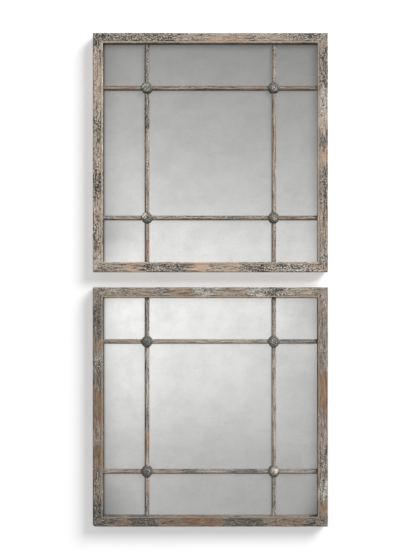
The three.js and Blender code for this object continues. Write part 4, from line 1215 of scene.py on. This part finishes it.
def dress_mirror(mirror, tones, bar_tones, finishes, seed):
    """All the pieces of one mirror."""
    frame_paint = rubbed_paint(f"{mirror}_frame_paint", tones)
    bar_paint = rubbed_paint(f"{mirror}_bar_paint", bar_tones)
    sides = {side: box_mm(frame_name(mirror, side)) for side in LEVEL + UPRIGHT}
    front, back = sides["top"][0][1], sides["top"][1][1]
    left, right = sides["left"][0][0], sides["right"][1][0]
    bottom, top = sides["bottom"][0][2], sides["top"][1][2]
    width = sides["left"][1][0] - left
    glass_front = box_mm(f"{mirror}_mirror_glass")[0][1]
    edges = (left, right, bottom, top, front, back, glass_front, width)
    for number, side in enumerate(LEVEL + UPRIGHT):
        frame_side(mirror, side, edges, frame_paint, seed + 10 * number)
    for number, side in enumerate(UPRIGHT + LEVEL):
        glazing_bar(mirror, side, bar_paint, seed + 50 + 10 * number)
    for number, corner in enumerate(f"{level}_{hand}" for level in LEVEL for hand in UPRIGHT):
        rosette(mirror, corner, finishes["pewter"], seed + 90 + number)
        copied("driven", f"{mirror}_{corner}_corner_nail", NAIL_BEVEL, finishes["zinc"])
    sheet(f"silvered_{mirror}_mirror_glass", f"{mirror}_mirror_glass", GLASS_SEAM, finishes["mirror"])
    sheet(f"pressed_{mirror}_backing_board", f"{mirror}_backing_board", BOARD_SEAM, finishes["board"])
    for side in LEVEL + UPRIGHT:
        copied("driven", f"{mirror}_{side}_glazing_point", NAIL_BEVEL, finishes["zinc"])
    for side in UPRIGHT:
        copied("folded", f"{mirror}_{side}_hanger_strap", STRAP_BEVEL, finishes["nickel"])
        copied("driven", f"{mirror}_{side}_hanger_screw", SCREW_BEVEL, finishes["zinc"])
        hanger_ring(mirror, side, finishes["nickel"])
        wall_bumper(mirror, side, finishes["rubber"])


# ---------------------------------------------------------------- camera, room and light

def set_camera():
    """Straight on, level with the middle of the pair, at the photograph's scale."""
    front = cad_box[0][1] / MM
    x = (PHOTO_WIDTH / 2 - PAIR_MIDDLE_PX[0]) * PX_MM
    z = (PAIR_MIDDLE_PX[1] - PHOTO_HEIGHT / 2) * PX_MM
    data = bpy.data.cameras.new("camera")
    data.sensor_width = SENSOR_MM
    data.lens = SENSOR_MM * CAMERA_DISTANCE / (PHOTO_HEIGHT * PX_MM)
    camera = linked("camera", data)
    camera.location = Vector((x, front - CAMERA_DISTANCE, z)) * MM
    camera.rotation_euler = (math.radians(90), 0, 0)
    bpy.context.scene.camera = camera


def pale_surface(name, shade, glow):
    """Plain pale paint that keeps its shadows, seen from its own side only, with a glow for the
    camera."""
    wall = Finish(name)
    wall.tree.nodes.remove(wall.shader)
    camera = wall.node("ShaderNodeLightPath").outputs["Is Camera Ray"]
    diffuse = wall.node("ShaderNodeBsdfDiffuse", {"Color": (shade, shade, shade, 1)}).outputs[0]
    light = wall.node("ShaderNodeEmission", {
        "Color": (1, 1, 1, 1), "Strength": wall.math("MULTIPLY", camera, glow)}).outputs[0]
    both = wall.node("ShaderNodeAddShader", {0: diffuse, 1: light}).outputs[0]
    clear = wall.node("ShaderNodeBsdfTransparent").outputs[0]
    facing = wall.node("ShaderNodeNewGeometry").outputs["Backfacing"]
    output = next(n for n in wall.tree.nodes if n.type == "OUTPUT_MATERIAL")
    wall.feed(output.inputs["Surface"], wall.either(facing, both, clear))
    return wall.material


def stage_plane(name, corners, material):
    """A flat part of the room, which only the camera sees."""
    mesh = bpy.data.meshes.new(name)
    mesh.from_pydata(corners, [], [(0, 1, 2, 3)])
    mesh.materials.append(material)
    plane = linked(name, mesh)
    for ray in ("diffuse", "glossy", "transmission", "shadow"):
        setattr(plane, f"visible_{ray}", False)


# Brightness of the room that the mirrors see, by the sine of the height of the view
ROOM_GLOW = [
    (-0.60, 0.35), (-0.26, 0.45), (-0.185, 0.50), (-0.162, 0.53), (-0.130, 0.66), (-0.097, 0.87),
    (-0.069, 1.01), (-0.041, 1.08), (-0.026, 1.16), (-0.010, 1.06), (0.024, 1.02), (0.040, 0.93),
    (0.0645, 0.75), (0.081, 0.69), (0.113, 0.56), (0.1455, 0.45), (0.184, 0.30), (0.25, 0.24),
    (0.70, 0.40),
]
ROOM_PEAK = 1.2  # the brightness that is white in the ramp
# Between these two sines to the right it goes from one share to another
ROOM_ACROSS = (-0.045, 0.090, 1.05, 0.78)
AMBIENT = 0.46  # strength of the even light
AMBIENT_LEAN = (-0.45, 0.0, -0.15)  # the even light is stronger from the left and a little from below


def light_room():
    """A white backdrop for the camera, even light for the paint, and for the mirrors a room that
    is bright at eye level and dims towards the ceiling and the floor."""
    world = bpy.data.worlds.new("room")
    bpy.context.scene.world = world
    world.use_nodes = True
    room = Nodes(world.node_tree)
    room.tree.nodes.clear()
    ray = room.node("ShaderNodeLightPath").outputs
    way = room.node("ShaderNodeTexCoord").outputs["Generated"]
    split = room.node("ShaderNodeSeparateXYZ", {0: way}).outputs

    low, high = ROOM_GLOW[0][0], ROOM_GLOW[-1][0]
    height = room.node("ShaderNodeMapRange", {"Value": split["Z"], "From Min": low, "From Max": high})
    ramp = room.node("ShaderNodeValToRGB", {"Fac": height.outputs["Result"]})
    stops = ramp.color_ramp.elements
    while len(stops) < len(ROOM_GLOW):
        stops.new(0.5)
    for stop, (sine, glow) in zip(stops, ROOM_GLOW):
        stop.position = (sine - low) / (high - low)
        stop.color = (glow / ROOM_PEAK, glow / ROOM_PEAK, glow / ROOM_PEAK, 1)
    start, end, share_start, share_end = ROOM_ACROSS
    fall = room.node("ShaderNodeMapRange", {
        "Value": split["X"], "From Min": start, "From Max": end,
        "To Min": share_start * ROOM_PEAK, "To Max": share_end * ROOM_PEAK})
    mirrored = room.node("ShaderNodeBackground", {
        "Color": ramp.outputs["Color"], "Strength": fall.outputs["Result"]}).outputs[0]

    lean = room.vector_math("DOT_PRODUCT", way, AMBIENT_LEAN, "Value")
    strength = room.math("MULTIPLY_ADD", lean, AMBIENT, AMBIENT)
    ambient = room.node("ShaderNodeBackground", {"Strength": strength}).outputs[0]
    backdrop = room.node("ShaderNodeBackground").outputs[0]
    lit = room.either(ray["Is Glossy Ray"], ambient, mirrored)
    room.node("ShaderNodeOutputWorld", {"Surface": room.either(ray["Is Camera Ray"], lit, backdrop)})


def lamp(name, place, size, power):
    """A square soft lamp that faces the middle of the pair: place and size in metres, watts."""
    data = bpy.data.lights.new(name, "AREA")
    data.size = size
    data.energy = power
    made = linked(name, data)
    made.location = place
    made.rotation_euler = (-Vector(place)).to_track_quat("-Z", "Y").to_euler()


WINDOW = ((4.9, -4.7, 4.9), 4.2, 900)  # place, size, power
BACK_FILL = ((-1.6, 2.4, 1.4), 2.0, 60)
WALL_SHADE = 0.67  # share of the light that the wall gives back
WALL_GLOW = 0.39  # light that the camera sees besides
WALL_GAP = 0.0004  # metres between the bumpers and the wall
FLOOR_DROP = 0.9  # metres from the pair down to the floor
REACH = 4  # metres of wall to either side and upwards
FLOOR_FRONT = -6  # metres to the front edge of the floor

set_camera()
light_room()
lamp("window", *WINDOW)
lamp("back_fill", *BACK_FILL)
wall_y = cad_box[1][1] + WALL_GAP
floor_z = cad_box[0][2] - FLOOR_DROP
pale = pale_surface("pale_wall", WALL_SHADE, WALL_GLOW)
skirting = [(-REACH, wall_y, floor_z), (REACH, wall_y, floor_z)]
stage_plane("wall", skirting + [(REACH, wall_y, REACH), (-REACH, wall_y, REACH)], pale)
stage_plane("floor", [(-REACH, FLOOR_FRONT, floor_z), (REACH, FLOOR_FRONT, floor_z)] + skirting[::-1], pale)

finishes = {
    "mirror": antique_mirror(),
    "pewter": aged_pewter(),
    "board": hardboard(),
    "zinc": plated_steel("zinc_plate", "#b9bab6", "#8f908c"),
    "nickel": plated_steel("nickel_plate", "#c4bfb2", "#a09b8e"),
    "rubber": soft_rubber(),
}
dress_mirror("upper", UPPER_TONES, UPPER_BAR_TONES, finishes, 100)
dress_mirror("lower", LOWER_TONES, LOWER_BAR_TONES, finishes, 300)

bpy.context.scene.view_settings.view_transform = "Standard"
